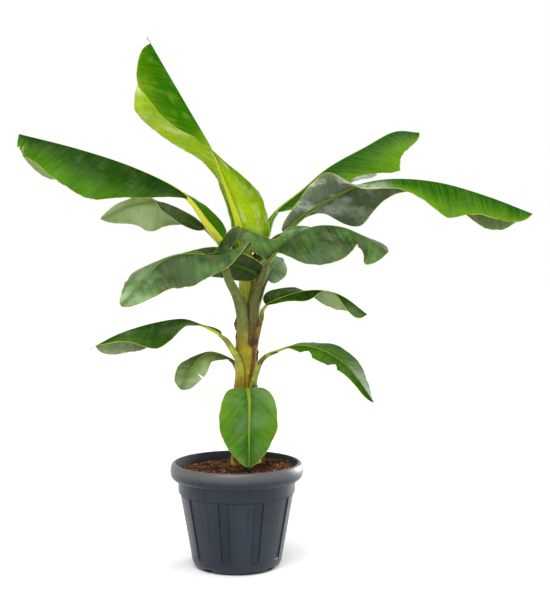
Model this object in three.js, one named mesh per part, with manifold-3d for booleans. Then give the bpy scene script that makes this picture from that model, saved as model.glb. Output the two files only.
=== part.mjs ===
// A young banana plant in a round plastic nursery pot.
// Millimetres, +Z up. The origin is the centre of the pot's flat underside, +X is to the right
// of somebody who faces the plant and +Y points away from them.
//
// Every leaf is worked out by the same rule. A smooth midrib runs through a few chosen points,
// and each half of the blade is swept out of it sideways, folded up or down by an angle, rolled
// by a curl, and as wide as its outline asks at that place.
import * as THREE from 'three';
import { mergeVertices } from 'three/addons/utils/BufferGeometryUtils.js';
import Module from 'manifold-3d';

const wasm = await Module();
wasm.setup();

// Clearance between neighbouring pieces.
const GAP = 0.3;

// Pot: its rolled rim, the plain collar under that, the panelled body and the rounded foot.
const POT_HEIGHT = 235;
const RIM_RADIUS = 150;
const RIM_INNER_RADIUS = 137;
const RIM_DROP = 33;
const RIM_ROLL = [9, 18];
const RIM_ARC = [-75, 90];
const RIM_STEPS = 5;
const COLLAR_RADIUS = 133;
const COLLAR_EASE = [1, 3];
const BODY_TOP = 166;
const BODY_TOP_RADIUS = 128;
const PANEL_FOOT = 25;
const PANEL_STEP = 2;
const FOOT_RADIUS = 101;
const FOOT_HEIGHT = 14;
const FOOT_ROUND = 12;
const POT_WALL = 4;
const POT_FLOOR = 8;
const PANEL_COUNT = 10;
const PANEL_PITCH = 360 / PANEL_COUNT;
const PANEL_PHASE = -66;
const RECESS_WIDTH = 10;
const RECESS_SLOPE = 0.6;
const RECESS_DEPTH = 2.5;
const NOTCH_COUNT = 4;
const NOTCH_PHASE = -128;
const NOTCH_SIZE = [30, 26, 12];

// Soil: its level at the edge, how far the middle is heaped, how far the surface rises to the
// right and the front, the radii of the rings it is worked out at, and how far from the stem's
// middle the level bed of the stem blends into it.
const SOIL_EDGE = 219;
const SOIL_HEAP = 9;
const SOIL_SLOPE = 7;
const SOIL_RINGS = [104, 76, 48, 20];
const SOIL_GAP = 1.2 * GAP;
const STEM_BED = [42, 85];

// Pseudostem: height of its foot and head, and [height, x, radius] along it.
const STEM_FOOT = 228;
const STEM_HEAD = 648;
const STEM_SHAPE = [
  [STEM_FOOT, 20, 37],
  [255, 20, 31],
  [330, 20, 26],
  [420, 20, 24],
  [500, 22, 24.5],
  [580, 25, 25],
  [STEM_HEAD, 28, 20],
];
const STEM_SIDES = 20;

// Blade thickness: its share of the blade's length and its least, then what the narrowest rows
// have and how fast it grows with a half's width.
const BLADE_THICKNESS = 0.0105;
const BLADE_MIN_THICKNESS = 2.2;
const NARROW_THICKNESS = 1.2;
const WIDTH_TO_THICKNESS = 6;

// The midrib's keel under a blade: the width over it, and what is left of it at the tip.
const WIDTH_TO_KEEL = 8;
const TIP_KEEL = 0.1;

// Blade rows: how far apart they are, how much closer at the ends, and how far away the rows
// are that a row takes its lie from. HALF_COLUMNS are the steps from the midrib to the margin.
const ROW_PITCH = 28;
const LEAST_ROWS = 5;
const ROW_EASING = 0.5;
const NORMAL_REACH = 0.015;
const HALF_COLUMNS = 3;

// A half is never narrower than its margin strip, and folds fully from FLAT_WIDTH on. Its rows
// lean as the veins do, less so where the blade ends in its tip.
const MARGIN_STRIP = 2.5;
const FLAT_WIDTH = 14;
const LEAN = [-35, 5, 15, 25];
const LEAN_SHARE = 0.8;
const LEAN_TAPER = 0.12;

// Width of the cut between a blade's two stretches.
const SPLIT_GAP = 0.6;

// Leaf lines are sampled in this many steps.
const LINE_STEPS = 200;

// Stalks: how stout they are from the stem to the blade, their half width and half depth.
const STALK_SHAPE = [1.2, 1.5, 1.35, 1.15, 1];
const STALK_OVAL = [1.1, 0.9];
const STALK_RINGS = 9;
const STALK_SIDES = 10;

// Leaves, lowest first. stalk and midrib are points of one line from the stem to the tip, and
// radius is the stalk's where the blade begins. heading is the way the leaf sets out, seen from
// above, in degrees from +X. width is the half blade's, widest and blunt shape its outline, and
// the lists of a half are read from base to tip: fold is its angle above level, curl adds to
// that towards the margin, scale trims the width, and lean sweeps the veins forward.
const LEAVES = [
  {
    name: 'leaf_front_low', colour: 0x5f9a35, radius: 5,
    stalk: [[25, -24, 330], [25, -30, 365], [25, -42, 392]],
    midrib: [[25, -60, 410], [30, -90, 385], [30, -110, 325], [30, -120, 245]],
    heading: -90, width: 66, widest: 0.4, blunt: 0.6, bend: 0.45,
    left: { fold: [-15], lean: [-35, 5, 10, 0] },
    right: { fold: [-15], lean: [-35, 5, 10, 0] },
  },
  {
    name: 'leaf_right_low', colour: 0x3f7a2c, radius: 6,
    stalk: [[30, -24, 340], [32, -27, 390], [45, -30, 445], [60, -40, 475]],
    midrib: [[90, -50, 492], [135, -65, 505], [185, -85, 498], [235, -105, 470], [270, -120, 428],
      [297, -130, 388]],
    heading: -15, width: 60, widest: 0.5, blunt: 0.45, bend: 0.5,
    left: { fold: [-10, -5, 3, -2, -10, -20], scale: [0.4, 0.8, 1.05, 1.05, 0.9, 0.7] },
    right: { fold: [-30], scale: [0.05, 0.5, 0.55, 0.33, 0.4] },
  },
  {
    name: 'leaf_left_low', colour: 0x5d8f45, radius: 5,
    stalk: [[5, 12, 360], [3, 14, 410], [0, 15, 445]],
    midrib: [[-20, 10, 470], [-65, 5, 480], [-100, -5, 450], [-125, -10, 400]],
    heading: 178, width: 55, widest: 0.5, blunt: 0.5, bend: 0.5, roll: [0, -10, -45, -50],
    left: { fold: [-30, -20], scale: [0.5, 0.65, 0.6] },
    right: { fold: [-10], scale: [0.2, 0.3, 0.65, 0.75] },
  },
  {
    name: 'leaf_left_middle', colour: 0x3c7a2d, radius: 7,
    stalk: [[18, -22, 400], [14, -22, 450], [-10, -20, 495]],
    midrib: [[-35, -20, 525], [-85, -25, 550], [-125, -30, 560], [-190, -45, 550], [-255, -60, 530],
      [-305, -80, 505]],
    heading: 190, width: 60, widest: 0.5, blunt: 0.45, bend: 0.42,
    left: { fold: [-50], scale: [0.05, 0.4, 1.25, 0.6, 0.3] },
    right: { fold: [30, -30, -60, -60], scale: [1.0, 0.35, 0.2, 1.0, 1.05, 1.3], lean: [-30, 0, 0, 0] },
  },
  {
    name: 'leaf_right_middle', colour: 0x35702a, radius: 6,
    stalk: [[32, -18, 450], [40, -20, 500], [54, -28, 560]],
    midrib: [[66, -35, 592], [135, -55, 620], [190, -70, 625], [235, -85, 612], [285, -98, 575]],
    heading: -10, width: 60, widest: 0.45, blunt: 0.45, bend: 0.55,
    left: { fold: [40, 20, -50, -60, -60], scale: [1.15, 0.7, 0.75, 0.9, 0.5], lean: [-25, 0, 0] },
    right: { fold: [-20, -50, -50, -50], scale: [0.4, 0.35, 0.45, 0, 0.45, 0.9] },
  },
  {
    name: 'leaf_left_front', colour: 0x3b7738, radius: 9,
    stalk: [[24, -22, 480], [20, -26, 535], [5, -40, 605], [-15, -65, 650]],
    midrib: [[-27, -84, 692], [-65, -110, 705], [-120, -150, 705], [-160, -180, 685], [-190, -200, 647],
      [-233, -205, 600]],
    heading: 205, width: 100, widest: 0.42, blunt: 0.42, bend: 0.5,
    left: {
      fold: [60, -10, -45, -50, -40, -20], curl: [0, -20, -20, 0],
      scale: [1.8, 0.8, 0.75, 0.7, 0.5, 0.4], lean: [-15, -10, 0, 10],
    },
    right: {
      fold: [85, 45, 20, -20, -20, -10, -5, -5, -5], curl: [0, -20, -20, 0],
      scale: [2.75, 0.45, 0.1, 0.12, 0.15, 0.2, 0.35, 0.5, 0.65, 0.8, 0.85, 0.9, 0.9, 0.8, 0.7, 0.6,
        0.6],
      lean: [2, -20, -10, 10, 20, 30],
    },
  },
  {
    name: 'leaf_right_front', colour: 0x35733a, radius: 8,
    stalk: [[32, -24, 480], [36, -27, 535], [42, -40, 605], [60, -60, 660]],
    midrib: [[70, -75, 690], [110, -100, 730], [165, -125, 763], [225, -150, 763], [275, -175, 740],
      [320, -190, 710]],
    heading: -20, width: 95, widest: 0.42, blunt: 0.42, bend: 0.5,
    left: {
      fold: [90, 60, 35, 0, -20, -20, -15, -10, -10], curl: [0, -20, -20, 0],
      scale: [2.85, 0.6, 0.55, 0.75, 0.9, 0.9, 1, 1, 1], lean: [-10, -20, -10, 0, 10, 15, 20, 20],
    },
    right: {
      fold: [-10, -50, -60, -55, -50, -40, -30], curl: [0, -20, -20, 0],
      scale: [0.1, 0.15, 0.42, 0.78, 0.93, 0.8, 0.5, 0.36, 0.9, 1.4],
      lean: [-20, -25, -25, -15, 5, 30, 45, 42, 15, 5],
    },
  },
  {
    name: 'leaf_tucked', colour: 0x55704a, radius: 5,
    stalk: [[46, -22, 560], [44, -26, 605]],
    midrib: [[48, -36, 655], [15, -45, 675], [-25, -40, 685], [-80, -20, 685], [-115, 0, 685]],
    heading: 178, width: 45, widest: 0.45, blunt: 0.5, roll: [70],
    left: { fold: [0] },
    right: { fold: [0] },
  },
  {
    name: 'leaf_right_rear', colour: 0x3a6f30, radius: 6,
    stalk: [[42, 14, 530], [45, 18, 575], [55, 25, 620]],
    midrib: [[65, 40, 645], [75, 90, 665], [90, 150, 680], [100, 220, 690]],
    heading: 75, width: 38, widest: 0.45, blunt: 0.5,
    left: { fold: [20] },
    right: { fold: [-40] },
  },
  {
    name: 'leaf_left_rear', colour: 0x6f8f62, radius: 7,
    stalk: [[12, 14, 640], [4, 16, 685], [-30, 22, 722]],
    midrib: [[-70, 40, 762], [-110, 60, 792], [-180, 95, 820], [-255, 130, 812], [-325, 160, 782]],
    heading: 165, width: 75, widest: 0.5, blunt: 0.5, bend: 0.5, roll: [25, 30, 30, 20],
    left: { fold: [-100, -110, -100, 0, 0, 0, 0], scale: [0.8, 0.65, 0.4, 0.3, 0.35, 0.35, 0.3] },
    right: { fold: [-30], curl: [-20], scale: [0.3, 0.6, 0.95, 0.65, 0.5] },
  },
  {
    name: 'leaf_right_long', colour: 0x3f8a2a, radius: 9,
    stalk: [[42, -12, 640], [52, -12, 685], [75, -22, 725]],
    midrib: [[110, -35, 755], [155, -55, 795], [215, -85, 830], [270, -110, 855], [340, -140, 865],
      [430, -180, 855], [525, -215, 825], [610, -240, 790]],
    heading: -20, width: 95, widest: 0.45, blunt: 0.5, bend: 0.54,
    left: {
      fold: [-60, -75, -75, -65, -65, -50],
      scale: [0, 0.22, 0.38, 0.98, 0.8, 0.52, 0.36, 0.4, 0.5, 0.8, 1.2, 1.2, 0.7],
      lean: [-35, -12, 5, 10, 16, 20, 25],
    },
    right: {
      fold: [65, 80, 75, -20, -60, -50, -50, -50, -45],
      scale: [0.6, 0.52, 0.68, 0.66, 0.38, 0.28, 0.58, 1.0, 0.72, 0.85, 1.2],
      lean: [-40, -12, 5, 12, 16, 20, 25],
    },
  },
  {
    name: 'leaf_right_high', colour: 0x5aa52c, radius: 8,
    stalk: [[40, 8, 640], [52, 12, 690], [66, 18, 745]],
    midrib: [[85, 25, 795], [145, 50, 845], [210, 80, 900], [295, 110, 948], [365, 138, 985],
      [425, 160, 985]],
    heading: 20, width: 90, widest: 0.5, blunt: 0.42,
    left: {
      fold: [-20, -50, -60, -40, -30, -20], curl: [-20], scale: [0.5, 0.85, 1.0, 0.95, 0.6, 0.6],
      lean: [0, 45, 50, 40, 20, 0],
    },
    right: {
      fold: [-70], curl: [-20], scale: [0.5, 0.6, 0.7, 0.75, 0.85, 1.0, 0.87, 0.82, 0.76, 0.8, 0.8],
      lean: [0, 50, 55, 50, 25, 15],
    },
  },
  {
    name: 'leaf_left_high', colour: 0x3f8630, radius: 11,
    stalk: [[12, -6, 630], [2, -6, 675]],
    midrib: [[-30, -8, 735], [-65, -12, 780], [-100, -20, 825], [-150, -30, 860], [-240, -40, 900],
      [-350, -50, 935], [-470, -60, 965]],
    heading: 183, width: 105, widest: 0.55, blunt: 0.42,
    left: {
      fold: [-60, -75, -75, -70, -60, -45], curl: [0, -20, -20, -20],
      scale: [0, 0, 0.1, 0.35, 0.6, 0.77, 0.96, 0.92, 0.84, 0.8, 1.3],
    },
    right: {
      fold: [75, 30, -40, -50, -55, -55], curl: [0, -30, -10, 0],
      scale: [1.05, 0.6, 0.4, 0.6, 1.1, 1.2], lean: [-30, 5, 15, 20],
    },
  },
  {
    name: 'leaf_top', colour: 0x8cc01c, radius: 12,
    stalk: [[30, -3, 652], [25, -6, 685]],
    midrib: [[20, -10, 710], [0, -20, 790], [-30, -25, 875], [-55, -20, 935], [-115, -5, 1040],
      [-190, 10, 1170]],
    heading: -127, width: 95, widest: 0.5, blunt: 0.38, roll: [0, -8, -17, -25, -32, -38],
    left: {
      fold: [35, 18, -30, -60, -70, -70], scale: [1.15, 1, 0.85, 0.95, 1.15, 1.0],
      lean: [-30, 0, 10, 10],
    },
    right: {
      fold: [33, 33, 15, -22, -40, -30], scale: [1.25, 1, 0.75, 1.1, 1.5, 0.9], lean: [-30, 0, 10, 10],
    },
  },
];

const radians = THREE.MathUtils.degToRad;

// Value at t (0 to 1) of a smooth curve through stations spread evenly over its length.
function stationAt(stations, t) {
  const last = stations.length - 1;
  if (last === 0) {
    return stations[0];
  }
  const place = Math.min(Math.max(t, 0), 1) * last;
  const i = Math.min(Math.floor(place), last - 1);
  const f = place - i;
  const before = stations[Math.max(i - 1, 0)];
  const after = stations[Math.min(i + 2, last)];
  const [a, b] = [stations[i], stations[i + 1]];
  const bend = 2 * before - 5 * a + 4 * b - after + f * (3 * (a - b) + after - before);
  return a + 0.5 * f * (b - before + f * bend);
}

// Closed surface from rings of the same even number of points. Each end is closed by a strip
// across its ring, which also fits a thin ring that is folded.
function loft(rings) {
  const sides = rings[0].length;
  const last = (rings.length - 1) * sides;
  const index = [];
  for (let i = 0; i < rings.length - 1; i++) {
    for (let j = 0; j < sides; j++) {
      const k = (j + 1) % sides;
      const [a, b] = [i * sides + j, i * sides + k];
      index.push(a, b, a + sides, b, b + sides, a + sides);
    }
  }
  for (let j = 0; j < sides / 2 - 1; j++) {
    const [a, b, c, d] = [j, j + 1, sides - 2 - j, sides - 1 - j];
    index.push(a, c, b, a, d, c);
    index.push(last + a, last + b, last + c, last + a, last + c, last + d);
  }
  const geometry = new THREE.BufferGeometry();
  const position = new Float32Array(rings.flat().flatMap((p) => [p.x, p.y, p.z]));
  geometry.setAttribute('position', new THREE.BufferAttribute(position, 3));
  geometry.setIndex(index);
  return geometry;
}

// Solid of a closed geometry.
function toSolid(geometry) {
  const bare = geometry.clone();
  bare.deleteAttribute('normal');
  bare.deleteAttribute('uv');
  const merged = mergeVertices(bare, 1e-4);
  return new wasm.Manifold(new wasm.Mesh({
    numProp: 3,
    vertProperties: new Float32Array(merged.attributes.position.array),
    triVerts: new Uint32Array(merged.index.array),
  }));
}

// Geometry of a solid's largest body.
function toGeometry(solid) {
  const bodies = solid.decompose();
  bodies.sort((a, b) => b.volume() - a.volume());
  const mesh = bodies[0].getMesh();
  const geometry = new THREE.BufferGeometry();
  const position = new Float32Array(mesh.vertProperties);
  geometry.setAttribute('position', new THREE.BufferAttribute(position, 3));
  geometry.setIndex(Array.from(mesh.triVerts));
  return geometry;
}

// Tapered limb along frames {point, side, up}: its half width and half depth at each.
function limb(frames, halfWidth, halfDepth, sides) {
  return loft(frames.map((frame, i) => {
    const ring = [];
    for (let k = 0; k < sides; k++) {
      const angle = (2 * Math.PI * k) / sides;
      ring.push(frame.point.clone()
        .addScaledVector(frame.side, halfWidth[i] * Math.cos(angle))
        .addScaledVector(frame.up, halfDepth[i] * Math.sin(angle)));
    }
    return ring;
  }));
}

// The leaf's whole line, from its foot on the stem to its tip, with a frame every few
// millimetres. side points to the leaf's left and up out of its upper face.
function leafLine(leaf) {
  const points = [...leaf.stalk, ...leaf.midrib].map((p) => new THREE.Vector3(...p));
  const curve = new THREE.CatmullRomCurve3(points, false, 'catmullrom', 0.5);
  curve.arcLengthDivisions = 2 * LINE_STEPS;
  const heading = radians(leaf.heading);
  let side = new THREE.Vector3(-Math.sin(heading), Math.cos(heading), 0);
  const frames = [];
  for (let i = 0; i <= LINE_STEPS; i++) {
    const forward = curve.getTangentAt(i / LINE_STEPS);
    side = side.clone().addScaledVector(forward, -side.dot(forward)).normalize();
    frames.push({
      point: curve.getPointAt(i / LINE_STEPS),
      forward,
      side,
      up: new THREE.Vector3().crossVectors(forward, side),
    });
  }
  const collar = points[leaf.stalk.length];
  let start = 0;
  frames.forEach((frame, i) => {
    if (frame.point.distanceTo(collar) < frames[start].point.distanceTo(collar)) {
      start = i;
    }
  });
  return { frames, start, step: curve.getLength() / LINE_STEPS };
}

// Frame between the samples of a leaf's line.
function frameAt(line, place) {
  const i = Math.min(Math.floor(place), line.frames.length - 2);
  const f = place - i;
  const [a, b] = [line.frames[i], line.frames[i + 1]];
  const forward = a.forward.clone().lerp(b.forward, f).normalize();
  const side = a.side.clone().lerp(b.side, f);
  side.addScaledVector(forward, -side.dot(forward)).normalize();
  return {
    point: a.point.clone().lerp(b.point, f),
    forward,
    side,
    up: new THREE.Vector3().crossVectors(forward, side),
  };
}

// Place on the leaf's line of t, which runs from 0 at the collar to 1 at the tip.
function bladePlace(line, t) {
  return line.start + t * (line.frames.length - 1 - line.start);
}

// Half width of a blade at t, before a half's own trim.
function outline(leaf, t) {
  const power = Math.log(0.5) / Math.log(leaf.widest);
  return leaf.width * Math.sin(Math.PI * Math.min(t, 0.9999) ** power) ** leaf.blunt;
}

// Points of a half blade's row at t, from the midrib to the margin. way is 1 on the left.
function halfRow(leaf, line, t, way) {
  const half = way > 0 ? leaf.left : leaf.right;
  const width = Math.max(outline(leaf, t) * stationAt(half.scale ?? [1], t), MARGIN_STRIP);
  const open = Math.min(width / FLAT_WIDTH, 1);
  const fold = radians(stationAt(half.fold, t)) * open;
  const curl = radians(stationAt(half.curl ?? [0], t)) * open;
  const tip = Math.min((1 - t) / LEAN_TAPER, 1);
  const lean = Math.tan(radians(stationAt(half.lean ?? LEAN, t))) * LEAN_SHARE * tip;
  const roll = radians(stationAt(leaf.roll ?? [0], t));
  const frame = frameAt(line, bladePlace(line, t));
  const row = [frame.point];
  let [across, above] = [0, 0];
  for (let j = 1; j <= HALF_COLUMNS; j++) {
    const u = j / HALF_COLUMNS;
    const angle = fold + curl * (u - 0.5 / HALF_COLUMNS);
    across += (Math.cos(angle) * width) / HALF_COLUMNS;
    above += (Math.sin(angle) * width) / HALF_COLUMNS;
    const sideways = way * across;
    row.push(frame.point.clone()
      .addScaledVector(frame.side, sideways * Math.cos(roll) - above * Math.sin(roll))
      .addScaledVector(frame.up, sideways * Math.sin(roll) + above * Math.cos(roll))
      .addScaledVector(frame.forward, lean * u * width));
  }
  return row;
}

// Points of a blade's row at t, from its left margin to its right one.
function bladeRow(leaf, line, t) {
  const left = halfRow(leaf, line, t, 1);
  const right = halfRow(leaf, line, t, -1);
  return [...left.reverse(), ...right.slice(1)];
}

const between = (from, to) => new THREE.Vector3().subVectors(to, from);

// Ring round a blade at t: its upper face from margin to margin and its lower face back, with
// the midrib as a keel under the middle. Narrow halves are thinner. extra grows it, and end
// (-1, 0 or 1) says which way the blade ends there.
function bladeRing(leaf, line, t, fullThickness, extra, end) {
  const row = bladeRow(leaf, line, t);
  const before = bladeRow(leaf, line, Math.max(t - NORMAL_REACH, 0));
  const after = bladeRow(leaf, line, Math.min(t + NORMAL_REACH, 1));
  const middle = (row.length - 1) / 2;
  const leftWidth = row[0].distanceTo(row[middle]);
  const rightWidth = row[row.length - 1].distanceTo(row[middle]);
  const keel = Math.min(leaf.radius, (leftWidth + rightWidth) / WIDTH_TO_KEEL)
    * Math.max(1 - t, TIP_KEEL);
  const upper = [];
  const lower = [];
  row.forEach((point, j) => {
    const along = between(before[j], after[j]).normalize();
    const across = between(
      row[Math.min(j + 1, 2 * middle)], row[Math.max(j - 1, 0)]).normalize();
    const normal = new THREE.Vector3().crossVectors(along, across).normalize();
    const outer = Number(j === 0) - Number(j === 2 * middle);
    const width = j < middle ? leftWidth : rightWidth;
    const widest = j === middle ? Math.max(leftWidth, rightWidth) : width;
    const thickness = Math.min(fullThickness, NARROW_THICKNESS + widest / WIDTH_TO_THICKNESS);
    const half = thickness / 2 + extra;
    const place = point.clone()
      .addScaledVector(along, end * extra)
      .addScaledVector(across, outer * extra);
    upper.push(place.clone().addScaledVector(normal, half));
    lower.push(place.clone().addScaledVector(normal, j === middle ? -half - keel : -half));
  });
  return [...upper, ...lower.reverse()];
}

// Solid of a closed geometry whose faces may all point in, which its volume tells.
function outward(geometry) {
  const solid = toSolid(geometry);
  if (solid.volume() > 0) {
    return solid;
  }
  const index = geometry.index.array;
  for (let i = 0; i < index.length; i += 3) {
    [index[i], index[i + 1]] = [index[i + 1], index[i]];
  }
  return toSolid(geometry);
}

// Stretch of a leaf's blade between two values of t, with closer rows towards its ends.
function bladeSolid(leaf, line, from, to, extra) {
  const length = line.step * (line.frames.length - 1 - line.start);
  const fullThickness = Math.max(length * BLADE_THICKNESS, BLADE_MIN_THICKNESS);
  const rows = Math.max(Math.round(((to - from) * length) / ROW_PITCH), LEAST_ROWS);
  const rings = [];
  for (let i = 0; i <= rows; i++) {
    const even = i / rows;
    const closer = (1 - Math.cos(Math.PI * even)) / 2;
    const eased = even + ROW_EASING * (closer - even);
    const end = Number(i === rows) - Number(i === 0);
    rings.push(bladeRing(leaf, line, from + (to - from) * eased, fullThickness, extra, end));
  }
  return outward(loft(rings));
}

// The leaf's stalk: slim where it clasps the stem, stout above that, then tapering to the blade.
function stalkSolid(leaf, line, extra) {
  const frames = [];
  const width = [];
  const depth = [];
  for (let i = 0; i <= STALK_RINGS; i++) {
    const t = i / STALK_RINGS;
    const place = t * (line.start - GAP / line.step);
    const radius = leaf.radius * stationAt(STALK_SHAPE, t);
    frames.push(frameAt(line, place));
    width.push(radius * STALK_OVAL[0] + extra);
    depth.push(radius * STALK_OVAL[1] + extra);
  }
  return outward(limb(frames, width, depth, STALK_SIDES));
}

// The pseudostem: rings on a line that leans a little to the right.
function stemSolid(extra) {
  const frames = STEM_SHAPE.map(([height, x]) => ({
    point: new THREE.Vector3(x, 0, height),
    side: new THREE.Vector3(1, 0, 0),
    up: new THREE.Vector3(0, 1, 0),
  }));
  const radius = STEM_SHAPE.map((row) => row[2] + extra);
  return outward(limb(frames, radius, radius, STEM_SIDES));
}

// Height of the soil's top at a place inside the pot, level under the stem.
function soilHeight(x, y) {
  const away = Math.hypot(x, y) / RIM_INNER_RADIUS;
  const height = SOIL_EDGE + SOIL_HEAP * (1 - away * away) + (SOIL_SLOPE * (x - y)) / RIM_RADIUS;
  const fromStem = Math.hypot(x - STEM_SHAPE[0][1], y);
  const blend = THREE.MathUtils.smoothstep(fromStem, ...STEM_BED);
  return THREE.MathUtils.lerp(STEM_FOOT - GAP, height, blend);
}

// Inner radius of the pot's wall at a height.
function wallRadius(height) {
  const top = BODY_TOP_RADIUS - POT_WALL;
  if (height < BODY_TOP) {
    return THREE.MathUtils.mapLinear(height, POT_FLOOR, BODY_TOP, FOOT_RADIUS - POT_WALL, top);
  }
  return THREE.MathUtils.mapLinear(height, BODY_TOP, POT_HEIGHT, top, RIM_INNER_RADIUS);
}

// Angles round the pot: the same offsets from the middle of each recess between its panels.
function potAngles(offsets) {
  const angles = [];
  for (let i = 0; i < PANEL_COUNT; i++) {
    offsets.forEach((offset) => angles.push(PANEL_PHASE + i * PANEL_PITCH + offset));
  }
  return angles;
}

// Point at an angle, radius and height round the pot's axis.
function polar(angle, radius, height) {
  return new THREE.Vector3(
    radius * Math.cos(radians(angle)), radius * Math.sin(radians(angle)), height);
}

// Whether an angle lies in a recess between two panels.
function inRecess(angle) {
  const away = THREE.MathUtils.euclideanModulo(angle - PANEL_PHASE, PANEL_PITCH);
  return Math.min(away, PANEL_PITCH - away) < RECESS_WIDTH / 2;
}

// The pot's wall in section, from the edge of its flat underside round the rim to its inner
// floor. Each entry is [radius, height, whether the recesses are cut there].
function potSection() {
  const rimFoot = POT_HEIGHT - RIM_DROP;
  const section = [
    [FOOT_RADIUS - FOOT_ROUND, 0, false],
    [FOOT_RADIUS - FOOT_ROUND / 3, FOOT_ROUND / 2, false],
    [FOOT_RADIUS, FOOT_HEIGHT, false],
    [FOOT_RADIUS + PANEL_STEP, PANEL_FOOT, false],
    [FOOT_RADIUS + PANEL_STEP, PANEL_FOOT + PANEL_STEP, true],
    [BODY_TOP_RADIUS, BODY_TOP - PANEL_STEP, true],
    [BODY_TOP_RADIUS, BODY_TOP, false],
    [COLLAR_RADIUS - COLLAR_EASE[0], BODY_TOP + COLLAR_EASE[1], false],
    [COLLAR_RADIUS, rimFoot, false],
  ];
  for (let i = 0; i <= RIM_STEPS; i++) {
    const angle = radians(THREE.MathUtils.mapLinear(i, 0, RIM_STEPS, ...RIM_ARC));
    section.push([
      RIM_RADIUS - RIM_ROLL[0] * (1 - Math.cos(angle)),
      POT_HEIGHT - RIM_ROLL[1] * (1 - Math.sin(angle)),
      false,
    ]);
  }
  section.push([RIM_INNER_RADIUS, POT_HEIGHT - 1, false]);
  section.push([wallRadius(BODY_TOP), BODY_TOP, false]);
  section.push([wallRadius(POT_FLOOR), POT_FLOOR, false]);
  return section;
}

function potGeometry() {
  const edge = RECESS_WIDTH / 2;
  const angles = potAngles([-edge - RECESS_SLOPE, -edge + RECESS_SLOPE, edge - RECESS_SLOPE,
    edge + RECESS_SLOPE, PANEL_PITCH / 2]);
  const rings = potSection().map(([radius, height, cut]) => angles.map((angle) => {
    return polar(angle, radius - (cut && inRecess(angle) ? RECESS_DEPTH : 0), height);
  }));
  let pot = outward(loft(rings));
  for (let i = 0; i < NOTCH_COUNT; i++) {
    const angle = NOTCH_PHASE + (i * 360) / NOTCH_COUNT;
    const notch = new THREE.BoxGeometry(...NOTCH_SIZE);
    notch.rotateZ(radians(angle));
    notch.translate(...polar(angle, FOOT_RADIUS, 0));
    pot = pot.subtract(toSolid(notch));
  }
  return toGeometry(pot);
}

// Soil: it fills the pot up to a little below the rim, GAP clear of the wall and the floor.
function soilGeometry() {
  const edge = RECESS_WIDTH / 2 + RECESS_SLOPE;
  const angles = potAngles([-edge, edge, PANEL_PITCH / 2]);
  const levelRing = (height) => angles.map((angle) => {
    return polar(angle, wallRadius(height) - SOIL_GAP, height);
  });
  const topRing = (radius) => angles.map((angle) => {
    const point = polar(angle, radius, 0);
    return point.setZ(soilHeight(point.x, point.y));
  });
  return toGeometry(outward(loft([
    levelRing(POT_FLOOR + GAP),
    levelRing(BODY_TOP),
    topRing(wallRadius(SOIL_EDGE - SOIL_SLOPE) - SOIL_GAP),
    ...SOIL_RINGS.map(topRing),
  ])));
}

const potMaterial = new THREE.MeshStandardMaterial({
  color: 0x474e55, roughness: 0.45, metalness: 0,
});
const soilMaterial = new THREE.MeshStandardMaterial({
  color: 0x5a3524, roughness: 1, metalness: 0,
});
const stemMaterial = new THREE.MeshStandardMaterial({
  color: 0x8a7a2e, roughness: 0.6, metalness: 0,
});
const stalkMaterial = new THREE.MeshStandardMaterial({
  color: 0x93a93c, roughness: 0.5, metalness: 0,
});

const plant = new THREE.Group();

function addPiece(name, geometry, material) {
  geometry.computeVertexNormals();
  const mesh = new THREE.Mesh(geometry, material);
  mesh.name = name;
  plant.add(mesh);
}

addPiece('pot', potGeometry(), potMaterial);
addPiece('soil', soilGeometry(), soilMaterial);
addPiece('pseudostem', toGeometry(stemSolid(0)), stemMaterial);

// Everything already placed, grown by GAP: each new piece is cut clear of it.
let taken = stemSolid(GAP);

function place(name, solid, grown, material) {
  addPiece(name, toGeometry(solid.subtract(taken)), material);
  taken = taken.add(grown);
}

const lines = new Map(LEAVES.map((leaf) => [leaf.name, leafLine(leaf)]));

for (const leaf of [...LEAVES].reverse()) {
  const line = lines.get(leaf.name);
  place(`${leaf.name}_stalk`, stalkSolid(leaf, line, 0), stalkSolid(leaf, line, GAP), stalkMaterial);
}

for (const leaf of [...LEAVES].reverse()) {
  const line = lines.get(leaf.name);
  const material = new THREE.MeshStandardMaterial({
    color: leaf.colour, roughness: 0.45, metalness: 0,
  });
  const split = SPLIT_GAP / (line.step * (line.frames.length - 1 - line.start));
  const stretches = leaf.bend
    ? [['inner', split, leaf.bend - split / 2], ['outer', leaf.bend + split / 2, 1]]
    : [['blade', split, 1]];
  for (const [part, from, to] of stretches) {
    const name = part === 'blade' ? `${leaf.name}_blade` : `${leaf.name}_blade_${part}`;
    place(name, bladeSolid(leaf, line, from, to, 0), bladeSolid(leaf, line, from, to, GAP), material);
  }
}

export default plant;
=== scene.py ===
# A young banana plant in a round plastic nursery pot: every surface that shows.
# Metres, +Z up, +X to the right of somebody who faces the plant, +Y away from them. The leaf
# table and the sizes below are in millimetres, and MM brings them to metres.
import math
from math import radians

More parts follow.
